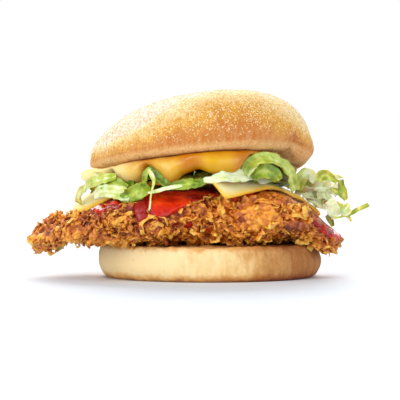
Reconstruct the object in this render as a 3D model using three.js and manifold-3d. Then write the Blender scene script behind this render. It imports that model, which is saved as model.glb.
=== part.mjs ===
// Crispy chicken burger: heel, fried fillet, red sauce, cheese slice, shredded lettuce, pickle slice,
// cheese sauce and crown, stacked as they lie. Millimetres; the origin is the centre of the heel's flat
// base, +X runs along the fillet, +Y to the back and +Z up.

import * as THREE from 'three';
import { mergeVertices } from 'three/addons/utils/BufferGeometryUtils.js';
import Module from 'manifold-3d';

const wasm = await Module();
wasm.setup();

// Driving dimensions
const GAP = 0.3; // air between neighbouring pieces

const HEEL = {
  baseRadius: 47.5,
  radius: 52.4,
  widestAt: 7.5,
  height: 16,
  topRadius: 50,
  lean: -0.04,
  // unevenness round the rim: share of the radius, cycles, phase
  waves: [[0.01, 2, 0.7], [0.007, 3, 2.2]],
};

const FILLET = {
  centre: [-12, -4.5],
  halfLength: 70.5,
  halfDepth: 47,
  squareness: 2.3,
  bottom: 16.4,
  frontTop: 41.5,
  backDrop: 11.5,
  endDrop: 3,
  edgeShare: 0.55,
  riseShare: 0.9,
  waves: [[0.045, 2, 0.6], [0.035, 3, 2.1], [0.022, 5, 0.4], [0.015, 8, 1.2]],
  broadLump: 1.1,
  fineLump: 0.8,
  // shallow hollows in the top: where each is, how wide and how deep
  hollows: [
    { at: [28, -34], spread: 15, depth: 1.6 },
    { at: [14, -42], spread: 8, depth: 1.6 },
    { at: [-63, -24], spread: 7, depth: 2.6 },
  ],
};

// How the fillet's ends hang: where the droop starts along X, over what length, and how far.
const DROOPS = {
  leftTop: { from: -36, to: -70, fall: 9 },
  leftBottom: { from: -60, to: -82, fall: 6 },
  rightTop: { from: 36, to: 60, fall: 10 },
  rightBottom: { from: 44, to: 60, fall: 8 },
};

// Clumps of crust: where each sits, how wide it is and which way it pushes the surface.
const CLUMPS = [
  { at: [-80, -8, 20], width: 7, push: [-2.5, 0, -2] },
  { at: [-72, -10, 29], width: 5.5, push: [-0.5, -1, 6.4] },
  { at: [-67, -10, 15], width: 5.5, push: [0, 0, 5.5] },
  { at: [-79, -8, 27], width: 6, push: [0, -0.5, 4.6] },
  { at: [-66, -24, 17], width: 6, push: [0, 0, 2] },
  { at: [-24, -50, 30], width: 9, push: [0, -2.5, 1] },
  { at: [24, -48, 30], width: 8, push: [0, -2.5, 0.5] },
  { at: [40, -38, 26], width: 6, push: [0.5, -1.5, 0] },
  { at: [56, -20, 13], width: 5, push: [0, -2, -3.4] },
  { at: [49, -28, 14], width: 4, push: [0, -2, -3] },
  { at: [65, -10, 19], width: 6, push: [-2, -1, -1] },
  { at: [10, 40, 26], width: 9, push: [0, 2.5, 0] },
  { at: [-45, 30, 27], width: 8, push: [-1.5, 2, 1] },
  { at: [42, 26, 24], width: 7, push: [2, 2, 0] },
];

const RED_SAUCE = { thickness: 2.1, left: -52, right: 61, front: -62, back: 24, rest: 38, floor: 20 };

// Runs of red sauce over the fillet's edge: place along X, width and the depth below the resting edge.
const RUNS = [
  { x: -17, width: 7, depth: 6 },
  { x: -3, width: 6, depth: 3 },
  { x: -46, width: 5, depth: 5 },
];

const SLICE = {
  side: 88,
  thickness: 2,
  centre: [-6.4, 5.5],
  turn: 57,
  clearance: 3,
  fall: 24,
  // the front right side folds down: how wide the fold is, and [place along it, drop of its edge]
  foldWidth: 8.8,
  fold: [[-44, 7.3], [-26, 4.8], [-8, 3.9], [16, 3.3], [26, 0.6]],
  // the left corner hangs: how wide the bend is, and [place across it, drop of its edge]
  hangWidth: 10,
  hang: [[8, 0], [22, 4.5], [33, 7.5], [44, 8]],
  // places held up: where each is, how wide and how far
  lifts: [
    { at: [-0.5, -50.5], spread: 6, lift: 1.2 },
    { at: [-60, -6], spread: 10, lift: 6 },
    { at: [54, 18], spread: 8, lift: 4.8 },
    { at: [26, -14], spread: 13, lift: 2 },
  ],
};

const CROWN = {
  centre: [-4.5, 0, 48.9],
  tilt: 12.3,
  roll: 8,
  radius: 52.8,
  widestAt: 6.6,
  height: 35.7,
  curl: 7.5,
  fullness: 2.41,
  lean: 0.14,
};

// Where the crown's rim is pressed up (+) or hangs down (-): angle from +X, spread and amount.
const RIM_SHIFTS = [
  { angle: 180, spread: 42, amount: 8 },
  { angle: 90, spread: 48, amount: 4 },
  { angle: 22, spread: 26, amount: -4 },
];

const CHEESE_SAUCE = {
  radius: 50.5,
  thickness: 1.4,
  edge: 1.2,
  // where it reaches out past the crown (+) or stops short (-): angle from +X, spread and amount
  reaches: [
    { angle: -172, spread: 9, amount: 6 },
    { angle: -20, spread: 22, amount: -9 },
  ],
};

// Lobes of cheese sauce under the crown's rim: angle from +X, spread and how far each hangs.
const LOBES = [
  { angle: -132, spread: 6, amount: 8 },
  { angle: -103.5, spread: 7, amount: 8.6 },
  { angle: -76, spread: 8, amount: 8.8 },
  { angle: -166, spread: 8, amount: 4.6 },
  { angle: 70, spread: 16, amount: 3 },
  { angle: 135, spread: 14, amount: 4 },
];

const PICKLE = { centre: [-7.5, -40.5, 48.4], radius: 8.5, thickness: 3.6, tilt: 20, roll: -8 };

const LETTUCE = {
  centre: [-1, -2],
  halfLength: 65,
  halfDepth: 44,
  middle: 46.5,
  backDrop: 0.12,
  leftDrop: 5,
  rightDrop: 9,
  halfHeight: 6,
  sideHeight: 3,
  frontDip: 6,
  thinnest: 1,
  waves: [[0.05, 3, 1.1], [0.045, 7, 0.3], [0.035, 13, 2]],
  // the sprig that sticks out on the right: its angle, spread, reach and drop
  sprig: { angle: 5, spread: 8, reach: 9, drop: 5 },
};

const radians = THREE.MathUtils.degToRad;
const smooth = (value, low, high) => THREE.MathUtils.smoothstep(value, low, high);
const bell = (distance, spread) => Math.exp(-(distance * distance) / (2 * spread * spread));

// ---- mesh helpers ----

// Merges shared vertices and drops the triangles that have no area at a pole or a seam.
function weld(geometry) {
  geometry.deleteAttribute('normal');
  geometry.deleteAttribute('uv');
  const merged = mergeVertices(geometry, 1e-4);
  const corners = merged.index.array;
  const kept = [];
  for (let i = 0; i < corners.length; i += 3) {
    const [a, b, c] = corners.slice(i, i + 3);
    if (a !== b && b !== c && c !== a) kept.push(a, b, c);
  }
  merged.setIndex(kept);
  return merged;
}

// Moves every vertex to the place that shape(vertex) gives it.
function reshape(geometry, shape) {
  const position = geometry.attributes.position;
  const vertex = new THREE.Vector3();
  for (let i = 0; i < position.count; i += 1) {
    shape(vertex.fromBufferAttribute(position, i));
    position.setXYZ(i, vertex.x, vertex.y, vertex.z);
  }
  geometry.computeVertexNormals();
  return geometry;
}

// Moves every vertex out along its normal by amount(vertex).
function swell(geometry, amount) {
  const position = geometry.attributes.position;
  const normals = geometry.attributes.normal.clone();
  const vertex = new THREE.Vector3();
  const normal = new THREE.Vector3();
  for (let i = 0; i < position.count; i += 1) {
    vertex.fromBufferAttribute(position, i);
    normal.fromBufferAttribute(normals, i);
    vertex.addScaledVector(normal, amount(vertex));
    position.setXYZ(i, vertex.x, vertex.y, vertex.z);
  }
  geometry.computeVertexNormals();
  return geometry;
}

// A ball with its poles on Z, ready to be reshaped.
function ball(around, up) {
  const sphere = new THREE.SphereGeometry(1, around, up);
  sphere.rotateX(Math.PI / 2);
  return weld(sphere);
}

// A profile of [radius, height] pairs turned about Z.
function turned(profile, around) {
  const points = profile.map(([radius, height]) => new THREE.Vector2(radius, height));
  const lathe = new THREE.LatheGeometry(points, around);
  lathe.rotateX(Math.PI / 2);
  return weld(lathe);
}

function toSolid(geometry) {
  const vertProperties = Float32Array.from(geometry.attributes.position.array);
  const triVerts = Uint32Array.from(geometry.index.array);
  return new wasm.Manifold(new wasm.Mesh({ numProp: 3, vertProperties, triVerts }));
}

// The largest body of a solid, as a geometry.
function toGeometry(solid) {
  const bodies = solid.decompose();
  bodies.sort((one, other) => other.volume() - one.volume());
  const { vertProperties, triVerts } = bodies[0].getMesh();
  const geometry = new THREE.BufferGeometry();
  geometry.setAttribute('position', new THREE.BufferAttribute(vertProperties, 3));
  geometry.setIndex(new THREE.BufferAttribute(triVerts, 1));
  geometry.computeVertexNormals();
  return geometry;
}

function piece(name, geometry, colour, roughness) {
  const material = new THREE.MeshStandardMaterial({ color: colour, roughness, metalness: 0 });
  const mesh = new THREE.Mesh(geometry, material);
  mesh.name = name;
  return mesh;
}

// Radius of a superellipse with half axes a and b, in the direction of an angle.
function ovalRadius(angle, a, b, squareness) {
  const across = (Math.abs(Math.cos(angle)) / a) ** squareness;
  const along = (Math.abs(Math.sin(angle)) / b) ** squareness;
  return (across + along) ** (-1 / squareness);
}

// Sum of waves round a piece, each with its share, cycles and phase.
function wavesAt(angle, waves) {
  return waves.reduce((sum, [share, cycles, phase]) => sum + share * Math.sin(cycles * angle + phase), 0);
}

// ---- bun heel ----

// Quarter ellipses from the base out to the widest ring and back in to the toasted top edge.
function heelGeometry(grow) {
  const steps = 4;
  const profile = [[0, 0]];
  for (let i = 0; i <= steps; i += 1) {
    const turn = (i / steps) * (Math.PI / 2);
    const out = (HEEL.radius - HEEL.baseRadius) * Math.sin(turn);
    profile.push([HEEL.baseRadius + out, HEEL.widestAt * (1 - Math.cos(turn))]);
  }
  for (let i = 1; i <= steps; i += 1) {
    const turn = (i / steps) * (Math.PI / 2);
    const out = (HEEL.radius - HEEL.topRadius) * Math.cos(turn);
    const rise = (HEEL.height - HEEL.widestAt) * Math.sin(turn);
    profile.push([HEEL.topRadius + out, HEEL.widestAt + rise]);
  }
  profile.push([0, HEEL.height]);
  const heel = reshape(turned(profile, 36), (v) => {
    const angle = Math.atan2(v.y, v.x);
    const share = 1 + wavesAt(angle, HEEL.waves) * smooth(v.z, 0, HEEL.widestAt);
    v.x = v.x * share + HEEL.lean * v.z;
    v.y *= share;
  });
  return grow > 0 ? swell(heel, () => grow) : heel;
}

// ---- fried chicken fillet ----

function filletRadius(angle) {
  const oval = ovalRadius(angle, FILLET.halfLength, FILLET.halfDepth, FILLET.squareness);
  return oval * (1 + wavesAt(angle, FILLET.waves));
}

// How far an end of the fillet has drooped at x.
const droop = (x, { from, to, fall }) => fall * smooth((x - from) / (to - from), 0, 1);

// A value read between the [place, value] pairs of a table; past its ends the nearest value holds.
function between(table, place) {
  const next = table.findIndex(([start]) => start > place);
  if (next === 0) return table[0][1];
  if (next < 0) return table[table.length - 1][1];
  const [from, first] = table[next - 1];
  const [to, second] = table[next];
  return first + ((second - first) * (place - from)) / (to - from);
}

// Sum of the bells about points on the plan, each with its place, spread and height.
function bellsAt(x, y, bells, name) {
  return bells.reduce((sum, one) => {
    const [atX, atY] = one.at;
    return sum + one[name] * bell(Math.hypot(x - atX, y - atY), one.spread);
  }, 0);
}

// Sum of the bells round a rim, each with its angle, spread and amount.
function bellsRound(x, y, bells) {
  const degrees = THREE.MathUtils.radToDeg(Math.atan2(y, x));
  let sum = 0;
  for (const { angle, spread, amount } of bells) {
    const away = THREE.MathUtils.euclideanModulo(degrees - angle + 180, 360) - 180;
    sum += amount * bell(away, spread);
  }
  return sum;
}

// Heights of the fillet's top and bottom before its edge is rounded off; the top is without its hollows.
function plainTop(x, y) {
  const back = FILLET.backDrop * smooth(y, -30, 45);
  const ends = FILLET.endDrop * (x / 60) ** 2 + droop(x, DROOPS.leftTop) + droop(x, DROOPS.rightTop);
  return FILLET.frontTop - back - ends;
}

const filletBottom = (x) => FILLET.bottom - droop(x, DROOPS.leftBottom) - droop(x, DROOPS.rightBottom);

function lumpiness(v) {
  const broad = Math.sin(0.31 * v.x + 0.2 * v.z + 1) * Math.sin(0.27 * v.y + 0.35 * v.z + 2);
  const fine = Math.sin(0.56 * v.x - 0.3 * v.y + 0.6) * Math.sin(0.5 * v.z + 0.4 * v.y + 1.3);
  return FILLET.broadLump * broad + FILLET.fineLump * fine;
}

function filletGeometry(grow) {
  const [cx, cy] = FILLET.centre;
  const fillet = reshape(ball(44, 18), (v) => {
    const angle = Math.atan2(v.y, v.x);
    const reach = filletRadius(angle) * Math.hypot(v.x, v.y) ** FILLET.edgeShare;
    const rise = Math.sign(v.z) * Math.abs(v.z) ** FILLET.riseShare;
    const x = cx + reach * Math.cos(angle);
    const y = cy + reach * Math.sin(angle);
    const top = plainTop(x, y) - bellsAt(x, y, FILLET.hollows, 'depth');
    const bottom = filletBottom(x);
    v.set(x, y, (top + bottom) / 2 + ((top - bottom) / 2) * rise);
  });
  reshape(fillet, (v) => {
    const start = v.clone();
    for (const { at, width, push } of CLUMPS) {
      const distance = start.distanceTo(new THREE.Vector3(...at));
      v.addScaledVector(new THREE.Vector3(...push), bell(distance, width));
    }
  });
  swell(fillet, lumpiness);
  return grow > 0 ? swell(fillet, () => grow) : fillet;
}

// ---- red sauce ----

// A block whose underside rises and falls along X, which picks out the part of the fillet that is coated.
function coatedRegion(grow) {
  const { left, right, front, back, rest, floor } = RED_SAUCE;
  const top = FILLET.frontTop + 12;
  const block = weld(new THREE.BoxGeometry(right - left + 2 * grow, back - front, 2, 30, 1, 1));
  return reshape(block, (v) => {
    const x = v.x + (left + right) / 2;
    let edge = rest;
    for (const run of RUNS) edge -= run.depth * bell(x - run.x, run.width);
    edge -= (rest - floor) * smooth(x, 38, 50);
    const backEdge = back + grow + 6 * Math.sin(x / 9);
    v.set(x, v.y > 0 ? backEdge : front, v.z > 0 ? top : Math.max(edge, floor) - grow);
  });
}

// ---- cheese slice ----

// Height of the slice's underside: the fillet's top with its edge rounded away towards the back, less the
// fold along the front right side and the bend at the left corner.
function drapeHeight(x, y) {
  const [cx, cy] = FILLET.centre;
  const angle = Math.atan2(y - cy, x - cx);
  const out = Math.hypot(x - cx, y - cy) / filletRadius(angle);
  const fallen = SLICE.fall * smooth(y, -40, -5) * Math.max(out - 0.72, 0) ** 1.6;
  const own = new THREE.Vector2(x - SLICE.centre[0], y - SLICE.centre[1]);
  own.rotateAround(new THREE.Vector2(), -radians(SLICE.turn));
  const past = (place, width) => THREE.MathUtils.clamp((-place - SLICE.side / 2) / width + 1, 0, 1.1);
  const folded = past(own.y, SLICE.foldWidth) * between(SLICE.fold, own.x);
  const hung = past(own.x, SLICE.hangWidth) * between(SLICE.hang, own.y);
  return plainTop(x, y) + SLICE.clearance + bellsAt(x, y, SLICE.lifts, 'lift') - fallen - folded - hung;
}

function sliceGeometry(grow) {
  const size = SLICE.side + 2 * grow;
  const height = SLICE.thickness + 2 * grow;
  const block = weld(new THREE.BoxGeometry(size, size, height, 10, 10, 1));
  block.rotateZ(radians(SLICE.turn));
  return reshape(block, (v) => {
    const x = v.x + SLICE.centre[0];
    const y = v.y + SLICE.centre[1];
    v.set(x, y, drapeHeight(x, y) + SLICE.thickness / 2 + v.z);
  });
}

// ---- bun crown ----

// How far the crown's underside is pressed up or hangs down, strongest at the rim.
function rimShift(x, y) {
  const out = Math.min(Math.hypot(x, y) / CROWN.radius, 1);
  return bellsRound(x, y, RIM_SHIFTS) * out ** 4;
}

// The cut face, a quarter round curl at the rim and a superellipse dome that leans to the right.
function crownGeometry(grow) {
  const { radius, widestAt, height, curl, fullness } = CROWN;
  const profile = [[0, 0], [(radius - curl) * 0.55, 0], [(radius - curl) * 0.85, 0]];
  const curlSteps = 4;
  for (let i = 0; i <= curlSteps; i += 1) {
    const turn = (i / curlSteps) * (Math.PI / 2);
    profile.push([radius - curl + curl * Math.sin(turn), widestAt * (1 - Math.cos(turn))]);
  }
  const domeSteps = 9;
  for (let i = 1; i <= domeSteps; i += 1) {
    const turn = (i / domeSteps) * (Math.PI / 2);
    const out = i < domeSteps ? Math.cos(turn) ** (2 / fullness) : 0;
    const rise = Math.sin(turn) ** (2 / fullness);
    profile.push([radius * out, widestAt + (height - widestAt) * rise]);
  }
  const crown = reshape(turned(profile, 38), (v) => {
    v.z += rimShift(v.x, v.y) * Math.max(1 - v.z / height, 0) ** 1.5;
    v.x += CROWN.lean * v.z;
  });
  return grow > 0 ? swell(crown, () => grow) : crown;
}

// ---- cheese sauce, in the crown's frame ----

function sauceDepth(x, y) {
  const out = Math.min(Math.hypot(x, y) / CHEESE_SAUCE.radius, 1);
  const depth = CHEESE_SAUCE.edge + bellsRound(x, y, LOBES);
  return CHEESE_SAUCE.thickness + depth * smooth(out, 0.55, 0.92);
}

// A flat layer under the cut face, thicker at the rim where its lobes hang; its edge is rounded.
function cheeseSauceGeometry(grow) {
  const layer = reshape(ball(48, 9), (v) => {
    const radius = CHEESE_SAUCE.radius + bellsRound(v.x, v.y, CHEESE_SAUCE.reaches);
    const reach = radius * Math.hypot(v.x, v.y) ** 0.35;
    const angle = Math.atan2(v.y, v.x);
    const x = reach * Math.cos(angle);
    const y = reach * Math.sin(angle);
    const top = rimShift(x, y) - GAP;
    v.set(x, y, top - (sauceDepth(x, y) * (1 - v.z)) / 2);
  });
  return grow > 0 ? swell(layer, () => grow) : layer;
}

// ---- pickle slice ----

function pickleGeometry(grow) {
  const { radius, thickness, tilt, roll, centre } = PICKLE;
  const half = thickness / 2 + grow;
  const edge = radius + grow;
  const inner = edge - 1;
  const side = half * 0.4;
  const profile = [[0, -half], [inner, -half], [edge, -side], [edge, side], [inner, half], [0, half]];
  const disc = turned(profile, 16);
  disc.rotateX(radians(tilt));
  disc.rotateY(radians(roll));
  disc.translate(...centre);
  return disc;
}

// ---- lettuce heap ----

// An uneven mound: tufts stick out in plan, and the left and right ends hang over the fillet.
function lettuceGeometry() {
  const [cx, cy] = LETTUCE.centre;
  return reshape(ball(42, 9), (v) => {
    const angle = Math.atan2(v.y, v.x);
    const oval = ovalRadius(angle, LETTUCE.halfLength, LETTUCE.halfDepth, 2.1);
    const out = Math.hypot(v.x, v.y);
    const swing = THREE.MathUtils.radToDeg(angle) - LETTUCE.sprig.angle;
    const sprig = bell(swing, LETTUCE.sprig.spread) * out ** 6;
    const edge = oval * (1 + wavesAt(angle, LETTUCE.waves)) + LETTUCE.sprig.reach * sprig;
    const reach = edge * out ** 0.7;
    const x = cx + reach * Math.cos(angle);
    const y = cy + reach * Math.sin(angle);
    const left = smooth(-x, 35, 65);
    const right = smooth(x, 35, 65);
    const ends = LETTUCE.leftDrop * left + LETTUCE.rightDrop * right + LETTUCE.sprig.drop * sprig;
    const drops = LETTUCE.backDrop * y + ends;
    const ruffle = 0.8 * Math.sin(x / 4 + y / 9) * Math.sin(y / 5 - x / 11);
    const middle = LETTUCE.middle - drops + ruffle;
    const half = LETTUCE.halfHeight + LETTUCE.sideHeight * (left + right);
    const dip = LETTUCE.frontDip * smooth(-y, 20, 42) * bell(x + 18, 26);
    const top = middle + half - dip;
    const onSlice = drapeHeight(x, y) + SLICE.thickness + GAP;
    const bottom = Math.min(Math.max(middle - half, onSlice), top - LETTUCE.thinnest);
    v.set(x, y, (top + bottom) / 2 + ((top - bottom) / 2) * v.z);
  });
}

// ---- assembly ----

const crownFrame = new THREE.Group();
crownFrame.position.set(...CROWN.centre);
crownFrame.rotation.set(-radians(CROWN.tilt), -radians(CROWN.roll), 0, 'YXZ');
crownFrame.updateMatrixWorld(true);

const inBurger = (geometry) => geometry.applyMatrix4(crownFrame.matrixWorld);
const intoCrownFrame = (geometry) => geometry.applyMatrix4(crownFrame.matrixWorld.clone().invert());

const clearOfHeel = toSolid(heelGeometry(GAP));
const clearOfFillet = toSolid(filletGeometry(GAP));
const coating = (grow) => toSolid(filletGeometry(GAP + RED_SAUCE.thickness + grow))
  .intersect(toSolid(coatedRegion(grow)));
const clearOfRedSauce = coating(GAP);
const clearOfSlice = toSolid(sliceGeometry(GAP));
const clearOfPickle = toSolid(pickleGeometry(GAP));
const clearOfCrown = toSolid(inBurger(crownGeometry(GAP)));
const clearOfCheeseSauce = toSolid(inBurger(cheeseSauceGeometry(GAP)));

const fillet = toSolid(filletGeometry(0)).subtract(clearOfHeel);
const redSauce = coating(0).subtract(clearOfFillet);
const slice = toSolid(sliceGeometry(0)).subtract(clearOfFillet).subtract(clearOfRedSauce);
const cheeseSauce = toSolid(inBurger(cheeseSauceGeometry(0)))
  .subtract(clearOfCrown)
  .subtract(clearOfSlice)
  .subtract(clearOfRedSauce);
const pickle = toSolid(pickleGeometry(0))
  .subtract(clearOfSlice)
  .subtract(clearOfRedSauce)
  .subtract(clearOfCheeseSauce);
const lettuce = toSolid(lettuceGeometry())
  .subtract(clearOfFillet)
  .subtract(clearOfRedSauce)
  .subtract(clearOfSlice)
  .subtract(clearOfPickle)
  .subtract(clearOfCheeseSauce)
  .subtract(clearOfCrown);

crownFrame.add(
  piece('cheese_sauce', intoCrownFrame(toGeometry(cheeseSauce)), 0xf4b942, 0.25),
  piece('bun_crown', crownGeometry(0), 0xe0b070, 0.75),
);

const burger = new THREE.Group();
burger.add(
  piece('bun_heel', heelGeometry(0), 0xf0dcb0, 0.8),
  piece('chicken_fillet', toGeometry(fillet), 0xb8742c, 0.7),
  piece('red_sauce', toGeometry(redSauce), 0xb51d08, 0.2),
  piece('cheese_slice', toGeometry(slice), 0xf2bd55, 0.45),
  piece('lettuce', toGeometry(lettuce), 0xa9c86a, 0.5),
  piece('pickle_slice', toGeometry(pickle), 0x6e7430, 0.35),
  crownFrame,
);

export default burger;
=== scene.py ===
import math

import bpy
import numpy as np
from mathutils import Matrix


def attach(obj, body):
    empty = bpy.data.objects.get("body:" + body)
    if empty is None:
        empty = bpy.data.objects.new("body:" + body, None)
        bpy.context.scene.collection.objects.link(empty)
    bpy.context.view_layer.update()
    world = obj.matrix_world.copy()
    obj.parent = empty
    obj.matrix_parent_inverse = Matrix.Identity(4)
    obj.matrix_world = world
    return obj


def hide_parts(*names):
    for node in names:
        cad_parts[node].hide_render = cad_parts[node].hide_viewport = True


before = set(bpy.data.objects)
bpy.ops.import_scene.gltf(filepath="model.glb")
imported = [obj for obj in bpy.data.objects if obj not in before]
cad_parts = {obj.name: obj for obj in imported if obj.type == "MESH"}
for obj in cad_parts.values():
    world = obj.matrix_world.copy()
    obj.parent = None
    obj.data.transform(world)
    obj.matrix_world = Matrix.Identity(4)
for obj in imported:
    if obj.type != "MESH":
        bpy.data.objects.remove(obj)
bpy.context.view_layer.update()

# A crispy chicken burger on a white table. Shapes are worked out in millimetres and scaled to metres
# when their mesh is made. The origin is the middle of the heel's base, +X runs along the fillet.

metresPerMm = 0.001


# Noise

def scrambled(cell, seed):
    # whole-number lattice places and a seed, multiplied by large odd numbers and folded, give 0 to 1
    mixed = cell[..., 0] * 73856093 ^ cell[..., 1] * 19349663 ^ cell[..., 2] * 83492791 ^ seed * 2654435761
    mixed = (mixed & 0xFFFFFFFF) * 2246822519 & 0xFFFFFFFF
    mixed = (mixed ^ mixed >> 15) * 3266489917 & 0xFFFFFFFF
    return ((mixed ^ mixed >> 13) & 0xFFFFFF) / 0xFFFFFF


def cloudNoise(points, size, seed=0):
    # a slope at each lattice corner, blended with the quintic curve across the cell; about -1 to 1
    scaled = points / size
    cell = np.floor(scaled).astype(np.int64)
    part = scaled - cell
    blend = part ** 3 * (part * (part * 6 - 15) + 10)
    total = np.zeros(points.shape[:-1])
    for corner in np.ndindex(2, 2, 2):
        corner = np.array(corner)
        there = cell + corner
        slope = np.stack([scrambled(there, seed * 7 + axis + 1) for axis in range(3)], -1) * 2 - 1
        weight = np.prod(np.where(corner == 1, blend, 1 - blend), -1)
        total += weight * np.sum(slope * (part - corner), -1)
    return total * 1.5


def ridgedNoise(points, size, seed=0):
    # 1 on the line where the cloud noise crosses nought, falling away on both sides
    return 1 - np.minimum(np.abs(cloudNoise(points, size, seed)) * 2.2, 1)


def noiseVector(points, size, seed=0):
    # a cloud noise of its own for each direction
    return np.stack([cloudNoise(points, size, seed + 101 * axis) for axis in range(3)], -1)


def clouds(points, *layers):
    # the sum of cloud noises: strength, size and seed of each
    return sum(strength * cloudNoise(points, size, seed) for strength, size, seed in layers)


def cellNoise(points, size, seed=0):
    # one scattered point in each lattice cell: distance to the nearest and the second, and its number
    scaled = points / size
    cell = np.floor(scaled).astype(np.int64)
    nearest = np.full(points.shape[:-1], 9.0)
    second = nearest.copy()
    number = np.zeros(points.shape[:-1])
    for step in np.ndindex(3, 3, 3):
        there = cell + np.array(step) - 1
        jitter = np.stack([scrambled(there, seed * 5 + axis + 11) for axis in range(3)], -1)
        distance = np.linalg.norm(there + jitter - scaled, axis=-1)
        closer = distance < nearest
        second = np.where(closer, nearest, np.minimum(second, distance))
        number = np.where(closer, jitter[..., 0], number)
        nearest = np.where(closer, distance, nearest)
    return nearest, second, number


def smooth(value, low, high):
    # 0 below low and 1 above high, with the cubic 3s^2 - 2s^3 between
    share = np.clip((value - low) / (high - low), 0, 1)
    return share * share * (3 - 2 * share)


def between(value, begin, stop):
    # rises from 0 to 1 over the first span and falls back to 0 over the second
    return smooth(value, *begin) * smooth(-value, -stop[1], -stop[0])


def bell(distance, spread):
    # the normal curve, 1 in the middle
    return np.exp(-(distance / spread) ** 2 / 2)


def unit(vectors):
    return vectors / np.maximum(np.linalg.norm(vectors, axis=-1, keepdims=True), 1e-9)


def fullTurn(count):
    # even angles once round, in radians
    return np.linspace(0, 2 * np.pi, count, endpoint=False)


def turned(first, second, degrees):
    # two coordinates turned about the third axis
    turn = math.radians(degrees)
    return first * math.cos(turn) - second * math.sin(turn), first * math.sin(turn) + second * math.cos(turn)


def placed(points, tilt, roll, centre):
    # tilted forwards about X, rolled to the left about Y, and set on its centre
    x, y, z = np.moveaxis(points, -1, 0)
    y, z = turned(y, z, tilt)
    x, z = turned(x, z, roll)
    return np.stack([x, y, z], -1) + np.array(centre)


def away(degrees, angle):
    # the angle between the two, from -180 to 180
    return (degrees - angle + 180) % 360 - 180


def bumps(x, y, places):
    # the sum of round bumps: place, spread and height of each
    return sum(height * bell(np.hypot(x - place[0], y - place[1]), width) for place, width, height in places)


def swells(degrees, places):
    # the sum of swells round an edge: angle, spread and size of each
    return sum(size * bell(away(degrees, angle), width) for angle, width, size in places)


# Meshes

def gridNormals(grid):
    # cross product of the steps along and around a closed shape, turned to point out of it
    along = np.gradient(grid, axis=0)
    around = np.roll(grid, -1, axis=1) - np.roll(grid, 1, axis=1)
    normals = unit(np.cross(around, along))
    outward = np.mean(np.sum(normals * (grid - grid.mean((0, 1))), -1))
    return normals * np.sign(outward)


def gridArea(grid):
    # the step between rows times the step between columns
    rowStep, columnStep = (np.linalg.norm(np.gradient(grid, axis=axis), axis=-1) for axis in (0, 1))
    return rowStep * columnStep


def skin(name, grid, material, slot, replaces=(), **values):
    # closed shapes[shape, along, around]: quads between the rows, a fan of triangles to a pole at each end
    if grid.ndim == 3:
        grid = grid[None]
        values = {key: value[None] for key, value in values.items()}
    shapes, rows, columns = grid.shape[:3]
    index = np.arange(rows * columns).reshape(rows, columns)
    beside = np.roll(index, -1, axis=1)
    quads = np.stack([index[:-1], beside[:-1], beside[1:], index[1:]], -1).reshape(-1, 4)
    first, last = rows * columns, rows * columns + 1
    startFan = np.stack([beside[0], index[0], np.full(columns, first)], -1)
    endFan = np.stack([index[-1], beside[-1], np.full(columns, last)], -1)
    fans = np.concatenate([startFan, endFan])
    count = rows * columns + 2

    def withPoles(array):
        flat = array.reshape(shapes, rows * columns, -1)
        poles = np.stack([array[:, 0].mean(1), array[:, -1].mean(1)], 1).reshape(shapes, 2, -1)
        return np.concatenate([flat, poles], 1)

    points = withPoles(grid)
    corners = points[0, np.concatenate([quads[:, :3], quads[:, [0, 2, 3]], fans])]
    corners = corners - corners.mean((0, 1))
    if np.sum(corners[:, 0] * np.cross(corners[:, 1], corners[:, 2])) < 0:
        quads, fans = quads[:, ::-1], fans[:, ::-1]
    offset = (np.arange(shapes) * count)[:, None, None]
    allQuads = (quads + offset).reshape(-1, 4)
    allFans = (fans + offset).reshape(-1, 3)
    loops = np.concatenate([allQuads.ravel(), allFans.ravel()])
    starts = np.concatenate([np.arange(len(allQuads)) * 4, len(allQuads) * 4 + np.arange(len(allFans)) * 3])

    mesh = bpy.data.meshes.new(name)
    mesh.vertices.add(shapes * count)
    mesh.vertices.foreach_set("co", (points.reshape(-1, 3) * metresPerMm).astype(np.float32).ravel())
    mesh.loops.add(len(loops))
    mesh.loops.foreach_set("vertex_index", loops.astype(np.int32))
    mesh.polygons.add(len(starts))
    mesh.polygons.foreach_set("loop_start", starts.astype(np.int32))
    mesh.update(calc_edges=True)
    for key, value in values.items():
        layer = mesh.attributes.new(key, "FLOAT", "POINT")
        layer.data.foreach_set("value", withPoles(value[..., None]).astype(np.float32).ravel())
    mesh.polygons.foreach_set("use_smooth", np.ones(len(starts), bool))
    mesh.materials.append(material)
    thing = bpy.data.objects.new(name, mesh)
    bpy.context.scene.collection.objects.link(thing)
    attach(thing, "root")
    if replaces:
        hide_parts(*replaces)
    print(f"{name}: {len(allQuads) * 2 + len(allFans)} triangles")


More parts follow.
